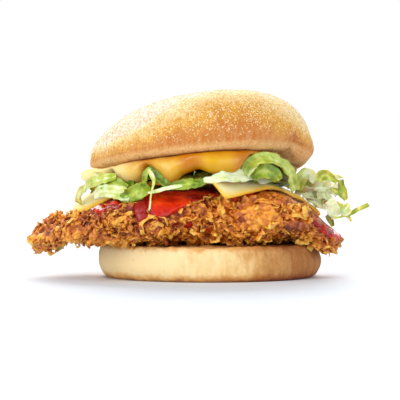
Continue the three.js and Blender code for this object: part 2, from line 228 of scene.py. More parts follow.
def strips(paths, widths, facing, ruffle, cup, thickness, columns, seed, waveSize=4.5):
    # flat loops carried along the paths: each section cups and ruffles more at its edges, which are ragged;
    # also gives each point's place across (-1 to 1) and a net of veins (0 to 1)
    ahead = unit(np.gradient(paths, axis=1))
    across = unit(np.cross(ahead, facing))
    normal = np.cross(across, ahead)
    side = np.concatenate([np.linspace(-1, 1, columns // 2), np.linspace(1, -1, columns // 2)])
    face = np.repeat([1, -1], columns // 2)
    steps = np.linalg.norm(np.diff(paths, axis=1, prepend=paths[:, :1]), axis=-1)
    breadth = widths[..., None] / 2 * side
    length = np.cumsum(steps, axis=1)[..., None] + 0 * breadth
    number = 17.3 * np.arange(len(paths))[:, None, None] + 0 * breadth
    sheet = np.stack([length, breadth, number], -1)
    edges = np.stack([length, np.sign(side) * 5 + 0 * breadth, number], -1)
    ruffle, cup, thickness = (np.broadcast_to(value, len(paths))[:, None, None]
                              for value in (ruffle, cup, thickness))
    rise = ruffle * (0.3 + 0.7 * np.abs(side) ** 1.5) * 1.7 * cloudNoise(sheet, waveSize, seed)
    rise = rise + ruffle * 0.4 * cloudNoise(sheet, waveSize * 0.4, seed + 1)
    rise = rise + cup * widths[..., None] * (side ** 2 - 0.4)
    ragged = 1 + 0.16 * cloudNoise(edges, waveSize * 0.45, seed + 2)
    thin = thickness / 2 * (1 - 0.65 * side ** 4)
    points = (paths[:, :, None] + across[:, :, None] * (breadth * ragged)[..., None]
              + normal[:, :, None] * (rise + face * thin)[..., None])
    return points, side + 0 * breadth, ridgedNoise(sheet * [0.45, 1.2, 1], 2.6, seed + 3)


def perShape(value, like):
    # one value for each shape, carried to all its points
    return value[:, None, None] + 0 * like


def shapesAlong(places, axes, ways):
    # each place plus its axes times the shape's own coordinates along them
    return places[:, None, None] + sum(axis[:, None, None] * way[..., None] for axis, way in zip(axes, ways))


def curveThrough(points, count):
    # a Catmull-Rom curve through the points, read off at even steps of its parameter
    points = np.asarray(points, float)
    padded = np.concatenate([2 * points[:1] - points[1:2], points, 2 * points[-1:] - points[-2:-1]])
    where = np.linspace(0, len(points) - 1 - 1e-9, count)
    start = where.astype(int)
    part = (where - start)[:, None]
    a, b, c, d = (padded[start + i] for i in range(4))
    cubic = (2 * a - 5 * b + 4 * c - d) * part ** 2 + (3 * b - a - 3 * c + d) * part ** 3
    return 0.5 * (2 * b + (c - a) * part + cubic)


# Materials

def tint(red, green, blue):
    # a screen colour from 0 to 255 in each part, turned into the shader's linear light
    parts = np.array([red, green, blue]) / 255
    linear = np.where(parts <= 0.04045, parts / 12.92, ((parts + 0.055) / 1.055) ** 2.4)
    return (*linear.tolist(), 1.0)


def maskGroup(name, patternNode, patternOutput, atLow, atHigh, **inputs):
    # Object coordinates, stretched and scaled to a size in millimetres, feed a pattern node; its output is
    # carried from the span Low to High to the span atLow to atHigh
    group = bpy.data.node_groups.new(name, "ShaderNodeTree")
    for label, value in inputs.items():
        socket = group.interface.new_socket(label, in_out="INPUT", socket_type="NodeSocketFloat")
        socket.default_value = value
    stretch = group.interface.new_socket("Stretch", in_out="INPUT", socket_type="NodeSocketVector")
    stretch.default_value = (1, 1, 1)
    group.interface.new_socket("Mask", in_out="OUTPUT", socket_type="NodeSocketFloat")
    start = group.nodes.new("NodeGroupInput").outputs
    end = group.nodes.new("NodeGroupOutput").inputs
    place = group.nodes.new("ShaderNodeTexCoord").outputs
    stretched = group.nodes.new("ShaderNodeVectorMath")
    stretched.operation = "MULTIPLY"
    perMetre = group.nodes.new("ShaderNodeMath")
    perMetre.operation = "DIVIDE"
    perMetre.inputs[0].default_value = 1 / metresPerMm
    pattern = group.nodes.new(patternNode)
    span = group.nodes.new("ShaderNodeMapRange")
    span.inputs["To Min"].default_value = atLow
    span.inputs["To Max"].default_value = atHigh
    links = [(place["Object"], stretched.inputs[0]), (start["Stretch"], stretched.inputs[1]),
             (stretched.outputs["Vector"], pattern.inputs["Vector"]), (start["Size"], perMetre.inputs[1]),
             (perMetre.outputs["Value"], pattern.inputs["Scale"]), (start["Low"], span.inputs["From Min"]),
             (pattern.outputs[patternOutput], span.inputs["Value"]),
             (start["High"], span.inputs["From Max"]), (span.outputs["Result"], end["Mask"])]
    if "Detail" in inputs:
        links.append((start["Detail"], pattern.inputs["Detail"]))
    for source, socket in links:
        group.links.new(source, socket)
    return group


# mottle: cloudy noise, where Low becomes 0 and High 1; specks: round, full inside Low and gone beyond High
sharedGroups = {
    "mottle": maskGroup("mottle", "ShaderNodeTexNoise", "Fac", 0, 1, Size=5, Detail=3, Low=0.3, High=0.7),
    "specks": maskGroup("specks", "ShaderNodeTexVoronoi", "Distance", 1, 0, Size=1, Low=0.15, High=0.4),
}


class Finish:
    # a Principled material with short ways to add and join its nodes

    def __init__(self, name, **settings):
        self.material = bpy.data.materials.new(name)
        self.material.use_nodes = True
        self.nodes = self.material.node_tree.nodes
        self.links = self.material.node_tree.links
        self.shader = self.nodes["Principled BSDF"]
        for socket, value in settings.items():
            self.shader.inputs[socket.replace("_", " ")].default_value = value

    def value(self, attribute):
        node = self.nodes.new("ShaderNodeAttribute")
        node.attribute_name = attribute
        return node.outputs["Fac"]

    def shared(self, groupName, **inputs):
        node = self.nodes.new("ShaderNodeGroup")
        node.node_tree = sharedGroups[groupName]
        for socket, value in inputs.items():
            node.inputs[socket].default_value = value
        return node.outputs["Mask"]

    def mottle(self, size, low=0.3, high=0.7, detail=3, stretch=(1, 1, 1)):
        return self.shared("mottle", Size=size, Low=low, High=high, Detail=detail, Stretch=stretch)

    def specks(self, size, low, high):
        return self.shared("specks", Size=size, Low=low, High=high)

    def maths(self, operation, first, second):
        node = self.nodes.new("ShaderNodeMath")
        node.operation = operation
        for socket, source in zip(node.inputs, (first, second)):
            if isinstance(source, (int, float)):
                socket.default_value = source
            else:
                self.links.new(source, socket)
        return node.outputs["Value"]

    def times(self, first, second):
        return self.maths("MULTIPLY", first, second)

    def weighed(self, base, *parts):
        # base plus each mask times its weight, with the mask's middle at nought
        for mask, weight in parts:
            base = self.maths("ADD", base, self.times(self.maths("SUBTRACT", mask, 0.5), weight))
        return base

    def ramp(self, source, stops):
        # stops: place and colour, or one number for a grey
        node = self.nodes.new("ShaderNodeValToRGB")
        elements = node.color_ramp.elements
        while len(elements) < len(stops):
            elements.new(0.5)
        for element, (place, colour) in zip(elements, stops.items()):
            element.position = place
            element.color = tint(*(colour if isinstance(colour, tuple) else [colour] * 3))
        self.links.new(source, node.inputs["Fac"])
        return node.outputs["Color"]

    def mix(self, share, first, second, blend="MIX"):
        node = self.nodes.new("ShaderNodeMix")
        node.data_type = "RGBA"
        node.blend_type = blend
        sockets = [socket for socket in node.inputs if socket.enabled]
        for socket, source in zip(sockets, (share, first, second)):
            if isinstance(source, (int, float)):
                socket.default_value = source
            elif isinstance(source, tuple):
                socket.default_value = tint(*source)
            else:
                self.links.new(source, socket)
        return next(socket for socket in node.outputs if socket.enabled)

    def bump(self, height, depthMm, strength=1.0):
        node = self.nodes.new("ShaderNodeBump")
        node.inputs["Distance"].default_value = depthMm * metresPerMm
        node.inputs["Strength"].default_value = strength
        self.links.new(height, node.inputs["Height"])
        self.links.new(node.outputs["Normal"], self.shader.inputs["Normal"])

    def set(self, socket, source):
        self.links.new(source, self.shader.inputs[socket])


# Stage: camera, lights and table

view = {"distance": 1.2, "elevation": 1.8, "aim": (-0.00475, 0.0, 0.0362), "lens": 227.4}
elevation = math.radians(view["elevation"])
cameraData = bpy.data.cameras.new("camera")
cameraData.lens = view["lens"]
cameraData.sensor_width = 36
cameraData.clip_end = 20
camera = bpy.data.objects.new("camera", cameraData)
camera.location = (view["aim"][0], -view["distance"] * math.cos(elevation),
                   view["aim"][2] + view["distance"] * math.sin(elevation))
camera.rotation_euler = (math.pi / 2 - elevation, 0, 0)
bpy.context.scene.collection.objects.link(camera)
bpy.context.scene.camera = camera

# lights like far softboxes: degrees round from the front (left is negative), height, width, and brightness
lamps = {
    "keyLight": {"round": -40, "height": 21, "width": 42, "power": 1.6, "tint": (255, 252, 246)},
    "sideLight": {"round": 52, "height": 17, "width": 44, "power": 0.9, "tint": (255, 252, 248)},
    "glintLight": {"round": -24, "height": 52, "width": 7, "power": 0.35, "tint": (255, 255, 255)},
    "backLight": {"round": -176, "height": 30, "width": 50, "power": 3.1, "tint": (255, 254, 252)},
}
# how bright the white room is as a light, and as it is seen
room = {"light": 0.56, "seen": 1.0}

for lampName, lamp in lamps.items():
    light = bpy.data.lights.new(lampName, "SUN")
    light.energy = lamp["power"]
    light.angle = math.radians(lamp["width"])
    light.color = tint(*lamp["tint"])[:3]
    holder = bpy.data.objects.new(lampName, light)
    holder.rotation_euler = (math.radians(90 - lamp["height"]), 0, math.radians(lamp["round"]))
    bpy.context.scene.collection.objects.link(holder)

world = bpy.data.worlds.new("studio")
world.use_nodes = True
background = world.node_tree.nodes["Background"]
background.inputs["Color"].default_value = (1, 1, 1, 1)
sight = world.node_tree.nodes.new("ShaderNodeLightPath")
roomLight = world.node_tree.nodes.new("ShaderNodeMapRange")
roomLight.inputs["To Min"].default_value = room["light"]
roomLight.inputs["To Max"].default_value = room["seen"]
world.node_tree.links.new(sight.outputs["Is Camera Ray"], roomLight.inputs["Value"])
world.node_tree.links.new(roomLight.outputs["Result"], background.inputs["Strength"])
bpy.context.scene.world = world
bpy.context.scene.view_settings.view_transform = "Standard"

tableFinish = Finish("whiteTable", Roughness=0.7, Specular_IOR_Level=0.05)
tableColour = tableFinish.ramp(tableFinish.mottle(60), {0: (221, 227, 236), 1: (225, 230, 238)})
tableFinish.set("Base Color", tableColour)
tableMesh = bpy.data.meshes.new("table")
tableMesh.from_pydata([(-4, -4, 0), (4, -4, 0), (4, 4, 0), (-4, 4, 0)], [], [(0, 1, 2, 3)])
tableMesh.materials.append(tableFinish.material)
table = bpy.data.objects.new("table", tableMesh)
bpy.context.scene.collection.objects.link(table)
print("stage set")


# Fried fillet: its plain shape

fillet = {
    "centre": (-12, -4.5), "halfLength": 70.5, "halfDepth": 47, "squareness": 2.3,
    "bottom": 16.4, "frontTop": 41.5, "backDrop": 11.5, "endDrop": 3, "edgeShare": 0.55, "riseShare": 0.9,
    "waves": [(0.045, 2, 0.6), (0.035, 3, 2.1), (0.022, 5, 0.4), (0.015, 8, 1.2)],
    "rows": 150, "columns": 640,
    # shallow hollows in its top: place, spread and depth
    "hollows": [((14, -42), 8, 1.2), ((-63, -24), 7, 2.6)],
    # drooping ends: where the fall starts and ends along X, and how deep it is
    "topDroops": [(-36, -70, 9), (36, 60, 10)], "bottomDroops": [(-60, -82, 6), (44, 60, 8)],
    # clumps of crust: place, width and push
    "clumps": [
        ((-80, -8, 20), 7, (-2.5, 0, -2)), ((-72, -10, 29), 5.5, (-0.5, -1, 6.4)),
        ((-67, -10, 15), 5.5, (0, 0, 5.5)), ((-79, -8, 27), 6, (0, -0.5, 4.6)),
        ((-66, -24, 17), 6, (0, 0, 2)), ((-24, -50, 30), 9, (0, -2.5, 1)),
        ((24, -48, 30), 8, (0, -2.5, 0.5)), ((40, -38, 26), 6, (0.5, -1.5, 0)),
        ((56, -20, 13), 5, (0, -2, -3.4)), ((49, -28, 14), 4, (0, -2, -3)), ((65, -10, 19), 6, (-2, -1, -1)),
        ((10, 40, 26), 9, (0, 2.5, 0)), ((-45, 30, 27), 8, (-1.5, 2, 1)), ((42, 26, 24), 7, (2, 2, 0)),
        ((31, -22, 39), 9, (0, 0, 1.9)), ((-26, -50, 26), 5, (0, -3, 0.8)), ((49, -20, 37), 8, (0, 0, -2.4)),
        ((32, -38, 16), 8, (0, 1.2, 1.3)), ((-25, -50, 24), 5, (0, -2, 0)),
    ],
}


def ovalRadius(angle, halfLength, halfDepth, squareness):
    # superellipse: the sum of |cos/a| and |sin/b| to the power n, to the power -1/n
    across = (np.abs(np.cos(angle)) / halfLength) ** squareness
    along = (np.abs(np.sin(angle)) / halfDepth) ** squareness
    return (across + along) ** (-1 / squareness)


def wavesAt(angle, waves):
    # the sum of sines round the outline: share of the radius, how many, and where they start
    return sum(share * np.sin(cycles * angle + phase) for share, cycles, phase in waves)


def filletRadius(angle):
    # the oval's radius, a little more or less with the waves
    oval = ovalRadius(angle, fillet["halfLength"], fillet["halfDepth"], fillet["squareness"])
    return oval * (1 + wavesAt(angle, fillet["waves"]))


def fallen(x, droops):
    # how far the drooping ends have come down at x
    return sum(fall * smooth((x - start) / (end - start), 0, 1) for start, end, fall in droops)


def plainTop(x, y):
    # level at the front, lower at the back, and falling with the square of x and at the drooping ends
    ends = fillet["endDrop"] * (x / 60) ** 2 + fallen(x, fillet["topDroops"])
    return fillet["frontTop"] - fillet["backDrop"] * smooth(y, -30, 45) - ends


def filletSurface(angle, rise):
    # rise runs from -90 to 90 degrees: the oval shrinks by its cosine, the height follows its sine, and each
    # clump pushes what is near it
    reach = filletRadius(angle) * np.cos(rise) ** fillet["edgeShare"]
    x = fillet["centre"][0] + reach * np.cos(angle)
    y = fillet["centre"][1] + reach * np.sin(angle)
    top = plainTop(x, y) - bumps(x, y, fillet["hollows"])
    bottom = fillet["bottom"] - fallen(x, fillet["bottomDroops"])
    lift = np.sign(rise) * np.abs(np.sin(rise)) ** fillet["riseShare"]
    points = np.stack([x, y, (top + bottom) / 2 + (top - bottom) / 2 * lift], -1)
    pushed = points.copy()
    for place, width, push in fillet["clumps"]:
        distance = np.linalg.norm(points - np.array(place), axis=-1)
        pushed += bell(distance, width)[..., None] * np.array(push)
    return pushed


# Cheese slice: the square that lies on the fillet

cheeseSlice = {
    "side": 88, "thickness": 1.9, "centre": (-6.4, 5.5), "turn": 57, "clearance": 3, "fall": 24,
    "squareness": 40, "rows": 46, "columns": 480,
    # the front right side folds down: width and curve of the fold, and its edge's drop at places along it
    "fold": {"width": 7.6, "power": 1.15, "at": (-44, -26, -8, 16, 26), "drop": (7.3, 4.8, 3.9, 3.3, 0.6)},
    # the left corner hangs in the same way
    "hang": {"width": 9, "power": 1.3, "at": (8, 22, 33, 44), "drop": (0, 4.5, 7.5, 8)},
    # places held up: place, spread and lift
    "lifts": [((-0.5, -50.5), 6, 1.2), ((-60, -6), 10, 6), ((54, 18), 8, 4.8), ((26, -14), 13, 2)],
    # face and cut edge colours, raised above the cheese's own cream and deeper orange edge as painted light
    # on the shaded slice
    "colours": {0.0: (255, 236, 178), 0.25: (254, 224, 146), 0.7: (255, 198, 76), 1.0: (255, 186, 56)},
}
sliceHalf = cheeseSlice["side"] / 2
sliceTurn = math.radians(cheeseSlice["turn"])


def inSlice(x, y):
    # places along the slice's two directions, from its centre
    x, y = x - cheeseSlice["centre"][0], y - cheeseSlice["centre"][1]
    return np.stack(turned(x, y, -cheeseSlice["turn"]))


def bentDown(bend, outward, along):
    # nothing up to the bend, then a power of the way from it to the edge, times the edge's drop
    past = np.clip((outward - sliceHalf) / bend["width"] + 1, 0, 1.1)
    return past ** bend["power"] * np.interp(along, bend["at"], bend["drop"])


def drapeHeight(x, y):
    # the fillet's top plus the sauce, falling away past its edge at the sides and back, less the two bends
    angle = np.arctan2(y - fillet["centre"][1], x - fillet["centre"][0])
    out = np.hypot(x - fillet["centre"][0], y - fillet["centre"][1]) / filletRadius(angle)
    drop = cheeseSlice["fall"] * smooth(y, -40, -5) * np.maximum(out - 0.72, 0) ** 1.6
    along, across = inSlice(x, y)
    drop = drop + bentDown(cheeseSlice["fold"], -across, along)
    drop = drop + bentDown(cheeseSlice["hang"], -along, across)
    return plainTop(x, y) + cheeseSlice["clearance"] - drop + bumps(x, y, cheeseSlice["lifts"])


def roofOver(points):
    # the highest that crust may reach: the slice's underside inside its square, and just under its folded
    # edge for a way in front of that, else no limit
    x, y = points[..., 0], points[..., 1]
    along, across = inSlice(x, y)
    inside = np.maximum(np.abs(along), np.abs(across)) < sliceHalf + 0.6
    behind = np.maximum(-sliceHalf - across, 0) / math.cos(sliceTurn)
    before = (behind > 0) & (behind < 26) & (np.abs(along + behind * math.sin(sliceTurn)) < sliceHalf)
    edge = np.where(before, drapeHeight(x, y + behind) - 0.03 * behind - 0.3, 999)
    return np.where(inside, drapeHeight(x, y) - 0.5, edge)


def slicePoints():
    # a rounded square carried round from the middle of its underside over the edge to the middle of its top
    rows, half = cheeseSlice["rows"], cheeseSlice["thickness"] / 2
    angle = fullTurn(cheeseSlice["columns"])[None]
    edge = ovalRadius(angle, sliceHalf, sliceHalf, cheeseSlice["squareness"])
    inner = np.linspace(0.02, 1, rows) ** 0.7
    nose = np.linspace(-np.pi / 2, np.pi / 2, 9)[1:-1]
    flatRows = np.ones(rows)
    share = np.concatenate([inner, np.ones(len(nose)), inner[::-1]])[:, None]
    inset = np.concatenate([flatRows, 1 - np.cos(nose), flatRows])[:, None] * half
    level = np.concatenate([-flatRows, np.sin(nose), flatRows])[:, None] * half
    reach = share * (edge - inset)
    x = reach * np.cos(angle + sliceTurn) + cheeseSlice["centre"][0]
    y = reach * np.sin(angle + sliceTurn) + cheeseSlice["centre"][1]
    flat = np.stack([x, y, 0 * x], -1)
    waves = clouds(flat, (0.3, 16, 81), (0.08, 5, 82))
    z = drapeHeight(x, y) + half + np.maximum(waves, -0.2)
    rim = smooth(reach / edge, 0.95, 0.995) * (1 - 0.5 * smooth(level, 0, half))
    return np.stack([x, y, z + level], -1), rim + 0 * x


def sliceMaterial():
    finish = Finish("cheeseSlice", Roughness=0.5, Specular_IOR_Level=0.15, Subsurface_Weight=0.4,
                    Subsurface_Scale=0.005)
    tone = finish.weighed(finish.value("rim"), (finish.mottle(9, detail=2), 0.3))
    finish.set("Base Color", finish.ramp(tone, cheeseSlice["colours"]))
    finish.bump(finish.mottle(1.6, detail=2), 0.08, 0.4)
    return finish.material


sliceGrid, sliceRim = slicePoints()
skin("cheeseSlice", sliceGrid, sliceMaterial(), "cheese_slice", ["cheese_slice"], rim=sliceRim)


# Fried fillet: where the red sauce lies, and the crust

redSauce = {
    # how high it lies, how deep it is sunk where none shows, and from where below to where above, in radians
    "lift": 0.75, "sunk": -2.6, "rises": (-0.75, 1.45), "rows": 120, "columns": 560,
    # the sheet on the front: its lower edge along X and Z
    "edgeX": (-29.5, -27.5, -24, -20.7, -18.4, -15.7, -10.2, -4.8, 1.2, 4),
    "edgeZ": (44, 31, 29.8, 29.8, 31, 32.8, 35, 37.2, 40.5, 47),
    # pools and runs beside it: middle along X and Z, then half sizes
    "pools": [(-43.5, 34.6, 4.2, 2.6), (-50.5, 33, 3, 1.9), (-31.5, 34, 3.4, 8),
              (50, 33.6, 6, 5.4), (53, 29.4, 5.6, 6), (56, 25.4, 5.2, 6), (58.6, 22, 4, 4.6)],
    # the oval on the top, which stays under the slice: middle, half sizes and lowest place
    "top": {"middle": (2, -3), "half": (50, 34), "above": 31},
    # the run on the left is painted darker, as painted shade
    "maroon": {"at": -33, "spread": 3.4, "strength": 0.9},
    # colours by the fold, from the painted shade of the left run up to the higher folds, which are painted
    # lighter as painted highlight
    "colours": {0.0: (150, 8, 2), 0.24: (206, 30, 4), 0.6: (240, 66, 12), 1.0: (250, 122, 36)},
}


def sauceDepth(points):
    # how far inside the sauce's edge a point of the crust lies, in millimetres; noise makes the edge wander
    x, y, z = np.moveaxis(points, -1, 0)
    edgeX, top, outside = redSauce["edgeX"], redSauce["top"], -9
    wander = clouds(points, (1.1, 5, 71), (0.6, 2.2, 72))
    depth = np.minimum(z - np.interp(x, edgeX, redSauce["edgeZ"]), 6)
    depth = np.where((x > edgeX[0]) & (x < edgeX[-1]), depth, outside)
    for middle, height, halfWidth, halfHeight in redSauce["pools"]:
        out = np.hypot((x - middle) / halfWidth, (z - height) / halfHeight)
        depth = np.maximum(depth, (1 - out) * min(halfWidth, halfHeight))
    depth = np.where(y < 5, depth, outside)
    out = np.hypot((x - top["middle"][0]) / top["half"][0], (y - top["middle"][1]) / top["half"][1])
    underSlice = sliceHalf - 3 - np.abs(inSlice(x, y)).max(0) + 9 * (x > 44)
    onTop = np.minimum((1 - out) * 30, underSlice)
    return np.maximum(depth, np.where(z > top["above"], onTop, outside)) + wander


crust = {
    # lumps, nuggets and grains: size, how far and how widely they are warped, the dip between and the dome
    "lumps": {"size": 12, "warp": 3.4, "warpSize": 10, "seeds": (3, 5), "dip": 0.4, "dome": 0.5},
    "nuggets": {"size": 6.2, "warp": 2, "warpSize": 5.5, "seeds": (6, 7), "dip": 0.35, "dome": 0.6},
    "grains": {"size": 2.7, "warp": 0.8, "warpSize": 2.4, "seeds": (24, 25), "dip": 0.4, "dome": 0.5},
    # how high each kind of relief stands, and how much it lightens the crust, which paints light on the
    # raised relief and shade in the hollows
    "lifts": {"lump": 3.2, "nugget": 1.8, "fold": 2.1, "ruffle": 0.9, "grain": 0.8},
    "tones": {"lump": 0.22, "nugget": 0.24, "fold": 0.38, "ruffle": 0.22, "grain": 0.24},
    # places without curls: middle, half sizes, smoothness and tone
    "smoothPatches": [
        ((22.3, -50, 28.7), (12.4, 14, 9.6), 0.8, 0.6), ((40, -42, 24.7), (6.3, 12, 3.8), 0.95, 0.2),
        ((33, -34, 38), (14, 16, 3.6), 0.85, 0.4), ((47, -22, 33.5), (7, 12, 3), 0.85, 0.36)],
    "colours": {0.0: (84, 22, 2), 0.22: (146, 60, 6), 0.44: (202, 108, 20), 0.68: (238, 160, 46),
                1.0: (255, 210, 96)},
    "stained": (142, 34, 8),
}


def cobbles(points, size, warp, warpSize, seeds, dip, dome):
    # domes on the cells of a warped cell noise, sunk where cells meet, and each cell's number from 0 to 1
    near, second, number = cellNoise(points + warp * noiseVector(points, warpSize, seeds[0]), size, seeds[1])
    return smooth(second - near, 0, dip) * (1 - dome * near), number


def smoothedAt(points):
    # how smooth the crust is, and its tone there: each patch is an ellipsoid that fades out at its edge
    calm = np.zeros(points.shape[:-1])
    calmTone = calm.copy()
    for place, halves, strength, tone in crust["smoothPatches"]:
        distance = np.linalg.norm((points - np.array(place)) / np.array(halves), axis=-1)
        share = strength * smooth(-distance, -1.15, -0.8)
        calmTone = np.where(share > calm, tone, calmTone)
        calm = np.maximum(calm, share)
    return calm, calmTone


def crustPoints(points, normals):
    # lumps, nuggets and grains from cell noise and folded ridges from warped noise lift the plain surface
    # and lighten it, as painted light on the raised parts and painted shade in the hollows; smooth patches
    # and sauce calm it
    lump, lumpNumber = cobbles(points, **crust["lumps"])
    nugget, nuggetNumber = cobbles(points, **crust["nuggets"])
    grain, grainNumber = cobbles(points, **crust["grains"])
    curled = points + 2.4 * noiseVector(points, 5.4, 8)
    fold = ridgedNoise(curled, 6.4, 12)
    ruffle = ridgedNoise(curled + 0.8 * noiseVector(points, 2.2, 21), 3.3, 16)
    calm, calmTone = smoothedAt(points)
    depth = sauceDepth(points)
    sauced, stain = smooth(depth, -0.6, 0.6), smooth(depth, -4, 0.5)
    rough = (1 - 0.85 * calm) * (1 - 0.9 * sauced)
    lifts, tones = crust["lifts"], crust["tones"]
    lift = lifts["lump"] * (lump - 0.55) * (1 - 0.8 * calm) * (1 - 0.8 * sauced) - 0.9 * sauced
    lift = lift + rough * (lifts["nugget"] * (nugget - 0.5) + lifts["fold"] * (fold ** 1.4 - 0.45))
    lift = lift + rough * (lifts["ruffle"] * (ruffle ** 1.3 - 0.5) + lifts["grain"] * (grain - 0.5))
    puckers = 1.5 * (ridgedNoise(curled, 5, 35) - 0.5) + 0.5 * (ridgedNoise(curled, 2.6, 37) - 0.5)
    lift = lift + calm * (1.4 + puckers)
    slide = noiseVector(points, 2.8, 41)
    slide = slide - normals * np.sum(slide * normals, -1, keepdims=True)
    moved = points + normals * lift[..., None] + slide * (1.4 * rough)[..., None]
    moved[..., 2] = np.minimum(moved[..., 2], roofOver(moved))
    # the tone is partly the crust's own colour, which differs from cell to cell, and partly painted light:
    # raised relief lighter, hollows darker
    tone = -0.12 + tones["lump"] * lump + tones["nugget"] * nugget + tones["fold"] * fold ** 1.3
    tone = tone + tones["ruffle"] * ruffle + tones["grain"] * grain
    tone = tone + 0.14 * (lumpNumber - 0.5) + 0.12 * (nuggetNumber - 0.5) + 0.14 * (grainNumber - 0.5)
    tone = tone - 0.1 * smooth(-points[..., 0], 0, 40)
    tone = tone * (1 - calm) + calm * (calmTone + 0.3 * (ridgedNoise(curled, 3.2, 36) - 0.5))
    return moved, np.clip(tone, 0, 1), calm, sauced, stain


def evenRises(rows, edge):
    # rows close together on the side and looser near the middle of the top and bottom, up to just short
    # of the poles
    share = np.linspace(-1, 1, rows)
    return (share * (1 - edge) + edge * share ** 3) * (math.pi / 2) * 0.985


def crustMaterial():
    finish = Finish("friedCrust", Coat_Weight=0.16, Coat_Roughness=0.18)
    tone = finish.weighed(finish.value("tone"), (finish.mottle(2.0, detail=4), 0.3),
                          (finish.mottle(13, detail=2), 0.16), (finish.specks(1.3, 0.1, 0.5), 0.1))
    stain = finish.times(finish.value("stain"), 0.75)
    finish.set("Base Color", finish.mix(stain, finish.ramp(tone, crust["colours"]), crust["stained"]))
    finish.set("Roughness", finish.maths("ADD", finish.times(finish.mottle(1.5), 0.25), 0.32))
    finish.bump(finish.mottle(0.8), 0.22, 0.6)
    return finish.material


filletAngle, filletRise = np.meshgrid(fullTurn(fillet["columns"]), evenRises(fillet["rows"], 0.35))
filletBase = filletSurface(filletAngle, filletRise)
filletNormals = gridNormals(filletBase)
filletCrust, filletTone, filletCalm, filletSauced, filletStain = crustPoints(filletBase, filletNormals)
friedCrust = crustMaterial()
skin("friedFillet", filletCrust, friedCrust, "fried_crust", ["chicken_fillet"], tone=filletTone,
     stain=filletStain)


# Fried fillet: curls, flakes and crumbs that stand on the crust

# how many of each, their least and most sizes in millimetres, and the grid of one
curls = {"count": 760, "radius": (0.9, 3.6), "width": (1.2, 3.3), "thickness": 0.5, "rows": 10, "columns": 6,
         "seed": 4}
flakes = {"count": 400, "length": (2.4, 6.4), "width": (1.4, 3.6), "thickness": 0.5, "rows": 6, "columns": 6,
          "seed": 9}
crumbs = {"count": 2300, "size": (0.35, 1.15), "rows": 4, "columns": 7, "seed": 12}
# where they stand: each pair is where they begin or stop, by degrees up the side and by X; and the size of
# their clusters
standing = {"rise": ((-75, -74), (47, 62)), "alongX": ((-86, -82), (58, 62)), "cluster": 8}


def standingPlaces(count, rng):
    # random grid points of the crust in clusters, fewer on the top, none on the sauce or smooth patches
    clusters = 0.25 + smooth(cloudNoise(filletBase, standing["cluster"], 77), -0.3, 0.3)
    weight = np.cos(filletRise) ** 1.5 * (1 - filletSauced) * (1 - filletCalm) * clusters
    weight = weight * between(np.degrees(filletRise), *standing["rise"])
    weight = weight * between(filletCrust[..., 0], *standing["alongX"])
    weight = (weight * gridArea(filletBase)).ravel()
    picked = rng.choice(weight.size, count, p=weight / weight.sum())
    return (filletCrust.reshape(-1, 3)[picked], filletNormals.reshape(-1, 3)[picked],
            filletTone.ravel()[picked], filletStain.ravel()[picked])


def tangentFrames(normals, rng):
    # a random direction across each normal, and the third axis
    first = unit(np.cross(normals, unit(rng.normal(size=normals.shape))))
    return first, np.cross(normals, first)


def clearOfSlice(shapes, tone, stain):
    # only the shapes that stay under the cheese slice
    free = np.all(shapes[..., 2] <= roofOver(shapes) + 0.2, axis=(1, 2))
    return shapes[free], np.clip(tone, 0, 1)[free], stain[free]


def crinkled(shapes, seed):
    # noise in three directions bends the thin strips
    return shapes + 0.45 * noiseVector(shapes, 1.5, seed)


def curlShapes(rng):
    # each strip follows part of a circle lying on the crust and stands up on its edge
    count = curls["count"]
    places, normals, tones, stains = standingPlaces(count, rng)
    lean = unit(normals + 0.5 * rng.normal(size=normals.shape))
    first, second = tangentFrames(lean, rng)
    least, most = curls["radius"]
    finer = 0.68 + 0.32 * smooth(places[:, :1], -26, -4)  # smaller at the left end
    radius = (least + (most - least) * rng.random(count)[:, None] ** 1.6) * finer
    along = np.linspace(0, 1, curls["rows"])[None]
    turn = rng.uniform(0, 6.28, count)[:, None] + rng.uniform(1.2, 3.2, count)[:, None] * (along - 0.5)
    radius = radius * (1 + 0.25 * np.sin(2 * turn + rng.uniform(0, 6.28, count)[:, None]))
    lift = 0.2 + 0.7 * np.sin(along * np.pi + rng.uniform(-0.6, 0.6, count)[:, None])
    out = first[:, None] * np.cos(turn)[..., None] + second[:, None] * np.sin(turn)[..., None]
    spine = places[:, None] + out * radius[..., None] + lean[:, None] * lift[..., None]
    widths = rng.uniform(*curls["width"], count)[:, None] * np.sin(np.clip(along, 0.08, 0.92) * np.pi) ** 0.5
    widths = finer * widths * (1 + 0.4 * np.sin(along * rng.uniform(5, 16, count)[:, None] + turn[:, :1]))
    facing = unit(out - 0.3 * lean[:, None])
    shapes, side, _ = strips(spine, widths, facing, ruffle=0.9, cup=0.12, thickness=curls["thickness"],
                             columns=curls["columns"], seed=201, waveSize=2.1)
    shapes = crinkled(shapes, seed=205)
    height = np.sum((shapes - places[:, None, None]) * lean[:, None, None], -1)
    # curls are painted lighter the higher they stand, as painted light
    tone = 0.42 + 0.26 * height + 0.5 * perShape(tones - 0.5, side)
    return clearOfSlice(shapes, tone + 0.1 * perShape(rng.normal(size=count), side), perShape(stains, side))


